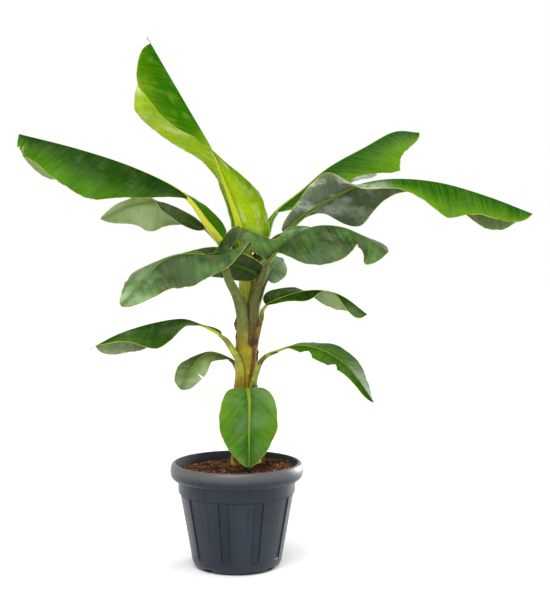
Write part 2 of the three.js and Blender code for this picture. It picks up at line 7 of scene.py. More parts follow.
import bmesh
import bpy
import numpy as np
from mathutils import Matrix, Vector


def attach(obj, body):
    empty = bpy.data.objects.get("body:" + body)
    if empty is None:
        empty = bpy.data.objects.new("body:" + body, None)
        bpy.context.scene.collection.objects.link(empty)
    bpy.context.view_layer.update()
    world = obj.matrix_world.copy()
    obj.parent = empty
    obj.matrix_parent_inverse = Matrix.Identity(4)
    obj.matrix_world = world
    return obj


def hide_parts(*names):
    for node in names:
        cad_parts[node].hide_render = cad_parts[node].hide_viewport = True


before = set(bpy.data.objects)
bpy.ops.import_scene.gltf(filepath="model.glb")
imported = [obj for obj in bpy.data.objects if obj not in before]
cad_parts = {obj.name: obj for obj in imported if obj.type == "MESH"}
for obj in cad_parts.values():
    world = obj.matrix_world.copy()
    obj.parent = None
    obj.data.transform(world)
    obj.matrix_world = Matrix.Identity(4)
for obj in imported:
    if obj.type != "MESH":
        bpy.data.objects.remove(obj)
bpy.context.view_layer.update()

MM = 0.001
SEED = 7

# Camera: in front of the plant at leaf height, looking slightly down.
CAMERA_PLACE = (0.086, -2.74, 0.762)
CAMERA_TILT = 3.4
CAMERA_LENS = 73.4
SENSOR = 36.0

# Pot: its rolled rim, the plain collar under that, the panelled body and the rounded foot.
POT_HEIGHT = 235
RIM_RADIUS = 150
RIM_INNER_RADIUS = 137
RIM_DROP = 33
RIM_ROLL = (9, 18)
COLLAR_RADIUS = 133
BODY_TOP = 166
BODY_TOP_RADIUS = 128
PANEL_FOOT = 25
FOOT_RADIUS = 101
FOOT_HEIGHT = 14
FOOT_ROUND = 12
POT_WALL = 4
POT_FLOOR = 8
PANEL_COUNT = 10
PANEL_PITCH = 360 / PANEL_COUNT
PANEL_PHASE = -66
RECESS_WIDTH = 10
RECESS_DEPTH = 2.5
NOTCH_COUNT = 4
NOTCH_PHASE = -128
NOTCH_WIDTH = 26
NOTCH_HEIGHT = 8
NOTCH_REACH = 60
# The wall's section: how far its corners are rounded off, how often its outside has a point, a
# ring of points under the foot, and how near its two ends come to the axis.
CORNER_ROUND = 1.5
SECTION_STEP = 4
UNDERSIDE_RING = 85.9
AXIS_GAP = 4
# Columns of points round the pot, in degrees to each side of a recess's or a notch's middle.
PANEL_COLUMNS = [0, 1.8, 3.6, 4.4, 4.7, 5, 5.3, 5.6, 6.2, 7.5, 10, 14, 18]
NOTCH_COLUMNS = [6.5, 7.3, 7.6]

# Soil: its level at the edge, how far it is heaped, how far it rises to the right and front, the
# foot of its skirt, and the heights and wavelengths of its top's relief.
SOIL_EDGE = 219
SOIL_HEAP = 9
SOIL_SLOPE = 7
SOIL_SKIRT = 180
SOIL_RELIEF = [(3.8, 24), (4.4, 9), (2.4, 3.6)]
SOIL_RINGS = 70
SOIL_COLUMNS = 200

# Bits strewn over the soil: name, how many, the finest lump used, sizes, flatness and colours.
# They keep clear of the wall by a margin and lie up to a spread over the soil. Their widths are
# shares of their sizes, they are tipped by about an angle in radians, and their points are uneven.
LITTER = [
    ("crumbs_dark", 1700, 1, (1.0, 3.4), (0.6, 1.0), ((0.010, 0.005, 0.004), (0.05, 0.022, 0.012))),
    ("crumbs_brown", 1500, 1, (1.0, 3.2), (0.6, 1.0), ((0.14, 0.052, 0.018), (0.42, 0.18, 0.070))),
    ("lumps_brown", 260, 2, (2.8, 6.8), (0.6, 1.0), ((0.05, 0.020, 0.009), (0.25, 0.10, 0.042))),
    ("chips_bark", 130, 2, (3.5, 8.5), (0.25, 0.45), ((0.03, 0.014, 0.009), (0.14, 0.06, 0.035))),
    ("chips_coir", 110, 2, (2.0, 6.0), (0.15, 0.3), ((0.26, 0.13, 0.06), (0.44, 0.26, 0.14))),
]
LITTER_MARGIN = 5
LITTER_SPREAD = 1.5
LITTER_WIDTHS = (0.45, 1)
LITTER_TIP = 0.45
LITTER_UNEVEN = 0.22

# Pseudostem: [height, x, radius] along it, how far below and above each height that shape is
# averaged to soften it, its rows and columns, the rings that round off its head, with their
# radius as a share of the stem's, and the height of its ridges and its relief.
STEM_SHAPE = [
    [222, 20, 38],
    [255, 20, 31],
    [330, 20, 26],
    [420, 20, 24],
    [500, 22, 24.5],
    [580, 25, 25],
    [648, 28, 20],
]
STEM_BLUR = (-24, -12, 0, 12, 24)
STEM_ROWS = 150
STEM_COLUMNS = 72
STEM_HEAD = [656, 660]
STEM_HEAD_SHARES = (0.8, 0.35)
STEM_RELIEF = 0.5

# Stalks: radius from the foot to the blade as a share of a leaf's own, rows and columns, and how
# far the margins rise past half round, as an angle in radians. A sheath gives way to its stalk
# over SHEATH_BLEND, where it wraps SHEATH_WRAP degrees to each side. Its foot is sunk into the
# stem by SHEATH_SINK and stands proud after SHEATH_FOOT. The green above comes over GREEN_OVER.
STALK_SHAPE = [1.2, 1.5, 1.35, 1.15, 1]
STALK_ROWS = 90
SHEATH_ROWS = 50
STALK_COLUMNS = 28
STALK_CLASP = 0.55
SHEATH_BLEND = 90
SHEATH_WRAP = 66
SHEATH_DEPTH = 4
SHEATH_FOOT = 40
SHEATH_SINK = 1.5
SHEATH_RIDGES = 0.35
GREEN_OVER = 130

# Dried scraps: the node each hangs on, the points of its line and its width.
SCRAPS = [
    ("leaf_top_blade", [[-189, 9, 1168], [-191, 8, 1175], [-197, 6, 1179], [-195, 5, 1185]], 1.6),
    ("leaf_left_middle_blade_outer", [[-303, -80, 507], [-312, -82, 502], [-317, -82, 494]], 1.6),
    ("pseudostem", [[2, -14, 566], [-1, -15, 556], [-3, -14, 545], [-1, -16, 532]], 5.0),
    ("pseudostem", [[1, -17, 530], [-1, -17, 520], [0, -18, 508]], 3.6),
    ("pseudostem", [[46, -12, 500], [48, -12, 484], [46, -13, 470], [48, -12, 455]], 3.2),
    ("pseudostem", [[40, 6, 640], [41, 8, 672], [40, 8, 700], [44, 6, 716]], 13.0),
    ("pseudostem", [[14, 8, 640], [4, 8, 680], [-4, 10, 705], [-9, 10, 730]], 14.0),
    ("pseudostem", [[44, -15, 420], [46, -15, 405], [44, -16, 392]], 3.0),
]
SCRAP_ROWS = 48
SCRAP_COLUMNS = 7
SCRAP_THICKNESS = 0.5

# Blades: samples of a leaf's line, how far lean sweeps, the midrib's radius as a share of the
# stalk's, the margin strip, how folds open where the blade is narrow, and where the lean ends.
LINE_STEPS = 200
SHEAR = 0.8
RIB = [1, 0.68, 0.5, 0.34, 0.2]
MARGIN_STRIP = 2.5
FLAT_WIDTH = 14
LEAN_TAPER = 0.12
LEAN_DEFAULT = [-35, 5, 15, 25]

# Rows along a blade, columns over each half of it and over its rib, and its thickness.
BLADE_ROWS = 190
BLADE_COLUMNS = 22
RIB_COLUMNS = 8
BLADE_THICKNESS = 0.9

# Relief of a blade: the height of its ruffle, each wave's (wavelength, share, how it gathers at
# the margin), the pleats' height and each pleat's (wavelength, share), and how the margin wanders
# in and out, as (wavelength, share of the width). SLANT is how far the veins lean back.
RUFFLE = 4.0
RUFFLE_WAVES = [(42, 1, 2.2), (17, 0.4, 1.5)]
RUFFLE_WIDTH = 50
PLEAT = 0.4
PLEAT_WAVES = [(5.5, 1), (2.6, 0.5)]
MARGIN_WAVES = [(14, 0.012), (4, 0.006)]
SLANT = 0.35

# Leaves, lowest first. stalk and midrib are points of one line from the stem to the tip, and
# radius is the stalk's where the blade begins. heading is the way the leaf sets out, seen from
# above, in degrees from +X. width is the half blade's, widest and blunt shape its outline, and
# roll turns it about its line. rib gives the midrib's radius as a share of the stalk's, and
# rib_tone how yellow it is. sheath is how the leaf clasps the stem: the way it faces seen from
# above, the height of its foot, how far round it wraps there to each side, both angles in
# degrees, and how far it stands proud. colours are the stalk's: the sheath, the stalk above it
# and their margins, how much purple-brown stains the sheath, and how far along green begins.
# The lists of a half are read from base to tip: fold is its angle above level, curl adds to
# that towards the margin, scale trims the width, and lean sweeps the veins forward. tone goes
# from deep (0) to bright (1): partly the leaf's own greens, partly painted light and shade,
# bright where light would shine through the blade and deep where it would lie in shade. bloom
# is the waxy cast and also a painted sheen, and tone_out and bloom_and_sheen_out add to them at the
# margin. tears are (place, depth, spread) along a margin.
LEAVES = [
    dict(
        name="leaf_front_low", slot="leaf_bright", radius=5, heading=-90, width=66, widest=0.4, blunt=0.6,
        slant=0.9, stalk=[[25, -24, 330], [25, -30, 365], [25, -42, 392]],
        midrib=[[25, -60, 410], [30, -90, 385], [30, -110, 325], [30, -120, 245]],
        rib=[1, 0.8, 0.65, 0.55, 0.45], rib_tone=0.28, sheath=(-85, 235, 100, 3.4),
        colours=((0.35, 0.24, 0.02), (0.2, 0.34, 0.03), (0.34, 0.3, 0.05), 0.5, -20),
        left=dict(
            fold=[-15], lean=[-35, 5, 10, 0], tone=[0.45, 0.35, 0.25], tone_out=[0.3], bloom_and_sheen=[0.12]),
        right=dict(
            fold=[-15], lean=[-35, 5, 10, 0], tone=[0.45, 0.35, 0.25], tone_out=[0.3], bloom_and_sheen=[0.12]),
    ),
    dict(
        name="leaf_right_low", slot="leaf_green", radius=6, heading=-15, width=60, widest=0.5, blunt=0.45,
        stalk=[[30, -24, 340], [32, -27, 390], [45, -30, 445], [60, -40, 475]],
        midrib=[[90, -50, 492], [135, -65, 505], [185, -85, 498], [235, -105, 470], [270, -120, 428],
            [297, -130, 388]],
        rib=[1, 0.6, 0.4, 0.25, 0.15], rib_tone=0.5, sheath=(-20, 236, 125, 3.0),
        colours=((0.35, 0.2, 0.02), (0.3, 0.4, 0.05), (0.5, 0.4, 0.05), 0.9, -20),
        left=dict(
            fold=[-10, -5, 3, -2, -10, -20], scale=[0.4, 0.8, 1.05, 1.05, 0.9, 0.7],
            tone=[0.4, 0.4, 0.35, 0.3], bloom_and_sheen=[0.15]),
        right=dict(
            fold=[-30], scale=[0.05, 0.5, 0.55, 0.33, 0.4], tone=[0.4, 0.35, 0.3], bloom_and_sheen=[0.15],
            tears=[(0.3, 0.5, 0.05), (0.55, 0.4, 0.04)]),
    ),
    dict(
        name="leaf_left_low", slot="leaf_pale", radius=5, heading=178, width=55, widest=0.5, blunt=0.5,
        roll=[0, -10, -45, -50], stalk=[[5, 12, 360], [3, 14, 410], [0, 15, 445]],
        midrib=[[-20, 10, 470], [-65, 5, 480], [-100, -5, 450], [-125, -10, 400]], rib_tone=0.4,
        sheath=(150, 238, 130, 2.8),
        colours=((0.34, 0.23, 0.02), (0.25, 0.32, 0.07), (0.16, 0.09, 0.03), 0.8, -20),
        left=dict(
            fold=[-30, -20], scale=[0.5, 0.65, 0.6], tone=[0.2, 0.8, 0.8], bloom_and_sheen=[0.2, 0.9, 1.0],
            tears=[(0.62, 0.55, 0.02)]),
        right=dict(fold=[-10], scale=[0.2, 0.3, 0.65, 0.75], tone=[0.0, 0.3, 0.8], bloom_and_sheen=[0.0, 0.3, 0.8]),
    ),
    dict(
        name="leaf_left_middle", slot="leaf_green", radius=7, heading=190, width=60, widest=0.5,
        blunt=0.45, stalk=[[18, -22, 400], [14, -22, 450], [-10, -20, 495]],
        midrib=[[-35, -20, 525], [-85, -25, 550], [-125, -30, 560], [-190, -45, 550], [-255, -60, 530],
            [-305, -80, 505]],
        rib_tone=0.8, sheath=(205, 245, 120, 2.4),
        colours=((0.41, 0.3, 0.01), (0.43, 0.5, 0.08), (0.12, 0.04, 0.02), 0.5, -20),
        left=dict(
            fold=[-50], scale=[0.05, 0.4, 1.25, 0.6, 0.3], tone=[0.15, 0.25, 0.3], tone_out=[0.3],
            bloom_and_sheen=[0.45]),
        right=dict(
            fold=[30, -30, -60, -60], scale=[1.0, 0.35, 0.2, 1.0, 1.05, 1.3], lean=[-30, 0, 0, 0],
            tone=[0.3, 0.3, 0.6], bloom_and_sheen=[0.2, 0.3, 0.8]),
    ),
    dict(
        name="leaf_right_middle", slot="leaf_green", radius=6, heading=-10, width=60, widest=0.45,
        blunt=0.45, stalk=[[32, -18, 450], [40, -20, 500], [54, -28, 560]],
        midrib=[[66, -35, 592], [135, -55, 620], [190, -70, 625], [235, -85, 612], [285, -98, 575]],
        rib_tone=0.9, sheath=(0, 300, 115, 2.0),
        colours=((0.27, 0.16, 0.02), (0.34, 0.46, 0.06), (0.16, 0.09, 0.03), 1.0, 50),
        left=dict(
            fold=[40, 20, -50, -60, -60], scale=[1.15, 0.7, 0.75, 0.9, 0.5], lean=[-25, 0, 0],
            tone=[0.15, 0.2, 1.0, 1.3], bloom_and_sheen=[0.1, 1.2, 2.8, 3.0]),
        right=dict(
            fold=[-20, -50, -50, -50], scale=[0.4, 0.35, 0.45, 0, 0.45, 0.9], tone=[0.15, 0.2, 0.35],
            bloom_and_sheen=[0.1, 0.3, 0.6]),
    ),
    dict(
        name="leaf_left_front", slot="leaf_dark", radius=9, heading=205, width=100, widest=0.42,
        blunt=0.42, stalk=[[24, -22, 480], [20, -26, 535], [5, -40, 605], [-15, -65, 650]],
        midrib=[[-27, -84, 692], [-65, -110, 705], [-120, -150, 705], [-160, -180, 685], [-190, -200, 647],
            [-233, -205, 600]],
        rib=[1, 0.6, 0.35, 0.25, 0.2], rib_tone=0.2, sheath=(250, 420, 110, 1.6),
        colours=((0.49, 0.42, 0.03), (0.17, 0.24, 0.06), (0.5, 0.46, 0.05), 0.4, -20),
        left=dict(
            fold=[60, -10, -45, -50, -40, -20], curl=[0, -20, -20, 0],
            scale=[1.8, 0.8, 0.75, 0.7, 0.5, 0.4], lean=[-15, -10, 0, 10], tone=[0.22, 0.1, 0.15, 1.1],
            tone_out=[0.3], bloom_and_sheen=[0.1, 0.2, 0.3, 1.8]),
        right=dict(
            fold=[85, 45, 20, -20, -20, -10, -5, -5, -5], curl=[0, -20, -20, 0],
            scale=[2.75, 0.45, 0.1, 0.12, 0.15, 0.2, 0.35, 0.5, 0.65, 0.8, 0.85, 0.9, 0.9, 0.8, 0.7,
                0.6, 0.6],
            lean=[2, -20, -10, 10, 20, 30], tone=[0.35, 0.4, 0.4, 0.7], bloom_and_sheen=[0.1, 0.3, 0.4, 1.2]),
    ),
    dict(
        name="leaf_right_front", slot="leaf_dark", radius=8, heading=-20, width=95, widest=0.42,
        blunt=0.42, stalk=[[32, -24, 480], [36, -27, 535], [42, -40, 605], [60, -60, 660]],
        midrib=[[70, -75, 690], [110, -100, 730], [165, -125, 763], [225, -150, 763], [275, -175, 740],
            [320, -190, 710]],
        rib_tone=0.1, sheath=(-60, 440, 95, 1.1),
        colours=((0.18, 0.12, 0.02), (0.12, 0.14, 0.04), (0.24, 0.18, 0.03), 0.9, 0),
        left=dict(
            fold=[90, 60, 35, 0, -20, -20, -15, -10, -10], curl=[0, -20, -20, 0],
            scale=[2.85, 0.6, 0.55, 0.75, 0.9, 0.9, 1, 1, 1], lean=[-10, -20, -10, 0, 10, 15, 20, 20],
            tone=[0.4, 0.3, 0.2], bloom_and_sheen=[0.7, 0.35, 0.25]),
        right=dict(
            fold=[-10, -50, -60, -55, -50, -40, -30], curl=[0, -20, -20, 0],
            scale=[0.1, 0.15, 0.42, 0.78, 0.93, 0.8, 0.5, 0.36, 0.9, 1.4],
            lean=[-20, -25, -25, -15, 5, 30, 45, 42, 15, 5], tone=[0.15, 0.25, 0.25, 0.7],
            bloom_and_sheen=[0.2, 0.25, 0.1], tears=[(0.72, 0.3, 0.03)]),
    ),
    dict(
        name="leaf_tucked", slot="leaf_dark", radius=5, heading=178, width=45, widest=0.45, blunt=0.5,
        roll=[70], stalk=[[46, -22, 560], [44, -26, 605]],
        midrib=[[48, -36, 655], [15, -45, 675], [-25, -40, 685], [-80, -20, 685], [-115, 0, 685]],
        rib_tone=0.0, sheath=(-40, 500, 60, 0.6),
        colours=((0.16, 0.12, 0.03), (0.05, 0.09, 0.02), (0.1, 0.06, 0.03), 0.7, -20),
        left=dict(fold=[0], tone=[0.3], bloom_and_sheen=[0.2]),
        right=dict(fold=[0], tone=[0.3], bloom_and_sheen=[0.2]),
    ),
    dict(
        name="leaf_right_rear", slot="leaf_dark", radius=6, heading=75, width=38, widest=0.45, blunt=0.5,
        stalk=[[42, 14, 530], [45, 18, 575], [55, 25, 620]],
        midrib=[[65, 40, 645], [75, 90, 665], [90, 150, 680], [100, 220, 690]], rib_tone=0.1,
        sheath=(40, 480, 110, 1.0),
        colours=((0.27, 0.27, 0.05), (0.1, 0.16, 0.05), (0.2, 0.16, 0.05), 0.3, -20),
        left=dict(fold=[20], tone=[0.4], bloom_and_sheen=[0.2]),
        right=dict(fold=[-40], tone=[0.3], bloom_and_sheen=[0.2]),
    ),
    dict(
        name="leaf_left_rear", slot="leaf_pale", radius=7, heading=165, width=75, widest=0.5, blunt=0.5,
        roll=[25, 30, 30, 20], stalk=[[12, 14, 640], [4, 16, 685], [-30, 22, 722]],
        midrib=[[-70, 40, 762], [-110, 60, 792], [-180, 95, 820], [-255, 130, 812], [-325, 160, 782]],
        rib_tone=0.2, sheath=(150, 560, 110, 0.8),
        colours=((0.34, 0.38, 0.06), (0.3, 0.4, 0.08), (0.25, 0.2, 0.05), 0.2, -20),
        left=dict(
            fold=[-100, -110, -100, 0, 0, 0, 0], scale=[0.8, 0.65, 0.4, 0.3, 0.35, 0.35, 0.3],
            tone=[0.0, 0.0, 0.4, 0.6], bloom_and_sheen=[0.0, 0.1, 0.5, 0.6]),
        right=dict(
            fold=[-30], curl=[-20], scale=[0.3, 0.6, 0.95, 0.65, 0.5], tone=[0.1, 0.4, 0.7, 0.5],
            bloom_and_sheen=[0.1, 0.4, 0.6, 0.3], ruffle=1.6),
    ),
    dict(
        name="leaf_right_long", slot="leaf_bright", radius=9, heading=-20, width=95, widest=0.45,
        blunt=0.5, stalk=[[42, -12, 640], [52, -12, 685], [75, -22, 725]],
        midrib=[[110, -35, 755], [155, -55, 795], [215, -85, 830], [270, -110, 855], [340, -140, 865],
            [430, -180, 855], [525, -215, 825], [610, -240, 790]],
        rib=[1.2, 0.75, 0.5, 0.34, 0.2], rib_tone=0.15, sheath=(-15, 560, 100, 0.9),
        colours=((0.22, 0.24, 0.03), (0.08, 0.13, 0.01), (0.25, 0.22, 0.05), 0.4, -20),
        left=dict(
            fold=[-60, -75, -75, -65, -65, -50],
            scale=[0, 0.22, 0.38, 0.98, 0.8, 0.52, 0.36, 0.4, 0.5, 0.8, 1.2, 1.2, 0.7],
            lean=[-35, -12, 5, 10, 16, 20, 25], tone=[0.3, 0.3, 0.15, 0.25, 0.3],
            tone_out=[0, 0.2, 0.3, 0.6], bloom_and_sheen=[0.8, 0.35, 0.05, 0.02, 0.02]),
        right=dict(
            fold=[65, 80, 75, -20, -60, -50, -50, -50, -45],
            scale=[0.6, 0.52, 0.68, 0.66, 0.38, 0.28, 0.58, 1.0, 0.72, 0.85, 1.2],
            lean=[-40, -12, 5, 12, 16, 20, 25], tone=[0.0, 0.1, 0.25, 0.3], tone_out=[1.0, 1.0, 0.5],
            bloom_and_sheen=[1.6, 1.9, 0.0, 0.0, 0.0], bloom_and_sheen_out=[2.2, 1.6, 0, 0, 0]),
    ),
    dict(
        name="leaf_right_high", slot="leaf_bright", radius=8, heading=20, width=90, widest=0.5,
        blunt=0.42, stalk=[[40, 8, 640], [52, 12, 690], [66, 18, 745]],
        midrib=[[85, 25, 795], [145, 50, 845], [210, 80, 900], [295, 110, 948], [365, 138, 985],
            [425, 160, 985]],
        rib_tone=0.4, sheath=(20, 560, 110, 0.6),
        colours=((0.34, 0.41, 0.05), (0.12, 0.3, 0.02), (0.3, 0.3, 0.06), 0.1, -20),
        left=dict(
            fold=[-20, -50, -60, -40, -30, -20], curl=[-20], scale=[0.5, 0.85, 1.0, 0.95, 0.6, 0.6],
            lean=[0, 45, 50, 40, 20, 0], tone=[0.2, 0.8, 0.9], bloom_and_sheen=[0.1, 0.8, 0.8]),
        right=dict(
            fold=[-70], curl=[-20], scale=[0.5, 0.6, 0.7, 0.75, 0.85, 1.0, 0.87, 0.82, 0.76, 0.8, 0.8],
            lean=[0, 50, 55, 50, 25, 15], tone=[0.1, 0.4, 0.45], tone_out=[1.1], bloom_and_sheen=[0.05]),
    ),
    dict(
        name="leaf_left_high", slot="leaf_green", radius=11, heading=183, width=105, widest=0.55,
        blunt=0.42, stalk=[[12, -6, 630], [2, -6, 675]],
        midrib=[[-30, -8, 735], [-65, -12, 780], [-100, -20, 825], [-150, -30, 860], [-240, -40, 900],
            [-350, -50, 935], [-470, -60, 965]],
        rib=[1.9, 1.1, 0.45, 0.25, 0.2], rib_tone=0.95, sheath=(185, 560, 110, 0.7),
        colours=((0.38, 0.41, 0.05), (0.6, 0.67, 0.1), (0.5, 0.5, 0.1), 0.1, -20),
        left=dict(
            fold=[-60, -75, -75, -70, -60, -45], curl=[0, -20, -20, -20],
            scale=[0, 0, 0.1, 0.35, 0.6, 0.77, 0.96, 0.92, 0.84, 0.8, 1.3], tone=[0.0, 0.1, 0.3, 0.35],
            tone_out=[0.1, 0.7, 0.7], bloom_and_sheen=[0.1], tears=[(0.955, 0.45, 0.012), (0.975, 0.3, 0.008)]),
        right=dict(
            fold=[75, 30, -40, -50, -55, -55], curl=[0, -30, -10, 0],
            scale=[1.05, 0.6, 0.4, 0.6, 1.1, 1.2], lean=[-30, 5, 15, 20], tone=[0.9, 0.4, 0.5, 1.3],
            bloom_and_sheen=[0.1, 0.1, 0.0]),
    ),
    dict(
        name="leaf_top", slot="leaf_young", radius=12, heading=-127, width=95, widest=0.5, blunt=0.38,
        roll=[0, -8, -17, -25, -32, -38], slant=0.5, stalk=[[30, -3, 652], [25, -6, 685]],
        midrib=[[20, -10, 710], [0, -20, 790], [-30, -25, 875], [-55, -20, 935], [-115, -5, 1040],
            [-190, 10, 1170]],
        rib=[1.1, 0.6, 0.3, 0.18, 0.1], rib_tone=1.0, sheath=(-100, 580, 150, 0.2),
        colours=((0.41, 0.49, 0.05), (0.56, 0.67, 0.05), (0.58, 0.64, 0.08), 0.0, -20),
        left=dict(
            fold=[35, 18, -30, -60, -70, -70], scale=[1.15, 1, 0.85, 0.95, 1.15, 1.0],
            lean=[-30, 0, 10, 10], tone=[0.75, 0.75, 0.2, 0.1, 0.15], tone_out=[-1.1, -0.9, 0.3, 0.3],
            bloom_and_sheen=[0.0, 0.05]),
        right=dict(
            fold=[33, 33, 15, -22, -40, -30], scale=[1.25, 1, 0.75, 1.1, 1.5, 0.9], lean=[-30, 0, 10, 10],
            tone=[0.1, 0.3, 0.6, 0.6, 0.5], bloom_and_sheen=[0.0, 0.1, 0.5]),
    ),
]

# Face colours by slot: deep and bright tones, which the paint layer mixes partly as painted
# light and shade, the veins, the pale waxy cast that also serves as a painted sheen, then
# roughness, the veins' share, how mottled the face is, the shares of its painted sheen bands
# and its brownish patches, and its specular level.
FACES = {
    "leaf_young": {
        "upper": ((0.008, 0.105, 0.001), (0.330, 0.530, 0.006), (0.420, 0.600, 0.012), (0.42, 0.58, 0.06),
                  0.30, 0.16, 0.5, 0.30, 0, 0),
        "lower": ((0.080, 0.240, 0.002), (0.400, 0.590, 0.008), (0.500, 0.660, 0.030), (0.76, 0.84, 0.38),
                  0.42, 0.30, 0.8, 0.80, 0, 0),
    },
    "leaf_bright": {
        "upper": ((0.014, 0.085, 0.004), (0.135, 0.310, 0.010), (0.180, 0.360, 0.020), (0.50, 0.54, 0.43),
                  0.28, 0.30, 0.6, 0.05, 0.1, 0.0),
        "lower": ((0.018, 0.044, 0.008), (0.190, 0.280, 0.100), (0.230, 0.320, 0.120), (0.82, 0.84, 0.74),
                  0.50, 0.22, 0.6, 0.10, 0.1, 0.05),
    },
    "leaf_green": {
        "upper": ((0.006, 0.036, 0.001), (0.085, 0.270, 0.002), (0.100, 0.260, 0.006), (0.20, 0.31, 0.12),
                  0.32, 0.24, 0.7, 0.24, 0.10, 0.02),
        "lower": ((0.022, 0.048, 0.008), (0.230, 0.330, 0.120), (0.260, 0.350, 0.140), (0.62, 0.68, 0.48),
                  0.50, 0.22, 0.5, 0.15, 0.1, 0.05),
    },
    "leaf_dark": {
        "upper": ((0.010, 0.036, 0.004), (0.090, 0.210, 0.030), (0.120, 0.220, 0.045), (0.30, 0.43, 0.22),
                  0.32, 0.26, 1.7, 0.25, 0.5, 0.05),
        "lower": ((0.018, 0.040, 0.008), (0.110, 0.175, 0.050), (0.130, 0.200, 0.060), (0.18, 0.23, 0.14),
                  0.50, 0.25, 0.8, 0.15, 0.2, 0.03),
    },
    "leaf_pale": {
        "upper": ((0.020, 0.055, 0.005), (0.210, 0.330, 0.070), (0.230, 0.340, 0.080), (0.46, 0.54, 0.34),
                  0.42, 0.28, 0.8, 0.20, 0.1, 0.04),
        "lower": ((0.100, 0.170, 0.035), (0.300, 0.410, 0.160), (0.320, 0.420, 0.170), (0.37, 0.47, 0.25),
                  0.50, 0.25, 0.6, 0.35, 0.0, 0.04),
    },
}
# Specular level of stalks, stem and midribs.
LIMB_SHINE = 0.12


# Curves and random lines

def station_at(stations, t):
    """Value at t (0 to 1) of a smooth curve through stations spread evenly over its length."""
    last = len(stations) - 1
    if last == 0:
        return stations[0]
    place = min(max(t, 0), 1) * last
    i = min(int(place), last - 1)
    f = place - i
    before, a = stations[max(i - 1, 0)], stations[i]
    b, after = stations[i + 1], stations[min(i + 2, last)]
    bend = 2 * before - 5 * a + 4 * b - after + f * (3 * (a - b) + after - before)
    return a + 0.5 * f * (b - before + f * bend)


def stations(values, ts):
    return np.array([station_at(values, t) for t in ts])


def listed(part, key, ts, default=(0,)):
    """Values along a leaf or a half of it, from one of its lists."""
    return stations(part.get(key, default), ts)


def smooth(low, high, value):
    """0 below low, 1 above high and a smooth step between."""
    f = np.clip((value - low) / (high - low), 0, 1)
    return f * f * (3 - 2 * f)


def unit(vectors):
    """The vectors, each of length 1."""
    return vectors / np.maximum(np.linalg.norm(vectors, axis=-1, keepdims=True), 1e-12)


def wander(rng, length, wavelength, places):
    """A smooth random line of about -1 to 1, with bends about a wavelength apart."""
    knots = int(length / wavelength) + 4
    values = rng.uniform(-1, 1, knots)
    where = np.asarray(places) / wavelength
    i = np.clip(np.floor(where).astype(int), 0, knots - 2)
    f = where - i
    f = f * f * (3 - 2 * f)
    return values[i] * (1 - f) + values[i + 1] * f


def hills(rng, wavelength, x, y):
    """A smooth random surface of about -1 to 1, with bumps about a wavelength apart."""
    size = 400
    values = rng.uniform(-1, 1, (size, size))
    u, v = x / wavelength + size / 2, y / wavelength + size / 2
    i, j = np.floor(u).astype(int) % (size - 1), np.floor(v).astype(int) % (size - 1)
    f, g = u - np.floor(u), v - np.floor(v)
    f, g = f * f * (3 - 2 * f), g * g * (3 - 2 * g)
    low = values[i, j] * (1 - f) + values[i + 1, j] * f
    high = values[i, j + 1] * (1 - f) + values[i + 1, j + 1] * f
    return low * (1 - g) + high * g


# Meshes

def put(name, data):
    """New object in the scene."""
    made = bpy.data.objects.new(name, data)
    bpy.context.scene.collection.objects.link(made)
    return made


def add_mesh(name, points, faces, materials, face_materials=None, layers=None, smooth_faces=True):
    """New object from points in millimetres. layers gives each named UV layer a pair a point."""
    mesh = bpy.data.meshes.new(name)
    faces = faces if isinstance(faces, list) else faces.tolist()
    mesh.from_pydata(np.asarray(points, float) * MM, [], faces)
    for material in materials:
        mesh.materials.append(material)
    if face_materials is not None:
        mesh.polygons.foreach_set("material_index", np.asarray(face_materials, np.int32))
    corners = np.empty(len(mesh.loops), np.int32)
    mesh.loops.foreach_get("vertex_index", corners)
    for layer, pairs in (layers or {}).items():
        uv = mesh.uv_layers.new(name=layer)
        uv.data.foreach_set("uv", np.asarray(pairs, np.float32)[corners].ravel())
    if smooth_faces:
        mesh.polygons.foreach_set("use_smooth", np.ones(len(mesh.polygons), bool))
    mesh.update()
    made = put(name, mesh)
    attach(made, "root")
    return made


def grid_faces(rows, columns, start=0, flip=False, closed=False):
    """Quads over a grid of points, and round it too where it closes on itself."""
    i, j = np.meshgrid(np.arange(rows - 1), np.arange(columns if closed else columns - 1), indexing="ij")
    k = (j + 1) % columns
    quads = np.stack([i * columns + j, i * columns + k, (i + 1) * columns + k, (i + 1) * columns + j], -1)
    quads = quads.reshape(-1, 4) + start
    return quads[:, ::-1] if flip else quads


def shell(outer, inner, flip=False):
    """Closed thin solid between two grids of points: points, quads, and each quad's side, which
    is 0 on the outer face, 1 on the inner one and 2 round the edge."""
    rows, columns = outer.shape[:2]
    count = rows * columns
    points = np.concatenate([outer.reshape(-1, 3), inner.reshape(-1, 3)])
    faces = [grid_faces(rows, columns, 0, flip), grid_faces(rows, columns, count, not flip)]
    ids = np.arange(count).reshape(rows, columns)
    rim = np.concatenate([ids[0, :-1], ids[:-1, -1], ids[-1, :0:-1], ids[:0:-1, 0]])
    after = np.roll(rim, -1)
    edge = np.stack([after, rim, rim + count, after + count], -1)
    faces.append(edge[:, ::-1] if flip else edge)
    sides = np.repeat([0, 1, 2], [len(part) for part in faces])
    return points, np.concatenate(faces), sides


def both_sides(*layers):
    """The UV pairs of a grid's points, once for each side of its shell."""
    return [np.tile(layer.reshape(-1, 2), (2, 1)) for layer in layers]


def capped(rings):
    """Closed tube through rings of points, with a flat cap at each end."""
    rows, columns = rings.shape[:2]
    faces = grid_faces(rows, columns, closed=True).tolist()
    faces += [list(range(columns))[::-1], [(rows - 1) * columns + k for k in range(columns)]]
    return rings.reshape(-1, 3), faces


def join(parts):
    """One set of points, faces and values from several (points, faces, values...)."""
    starts = np.cumsum([0] + [len(part[0]) for part in parts[:-1]])
    points = np.concatenate([part[0] for part in parts])
    faces = np.concatenate([part[1] + start for part, start in zip(parts, starts)])
    return [points, faces] + [np.concatenate([part[k] for part in parts]) for k in range(2, len(parts[0]))]


# Material nodes

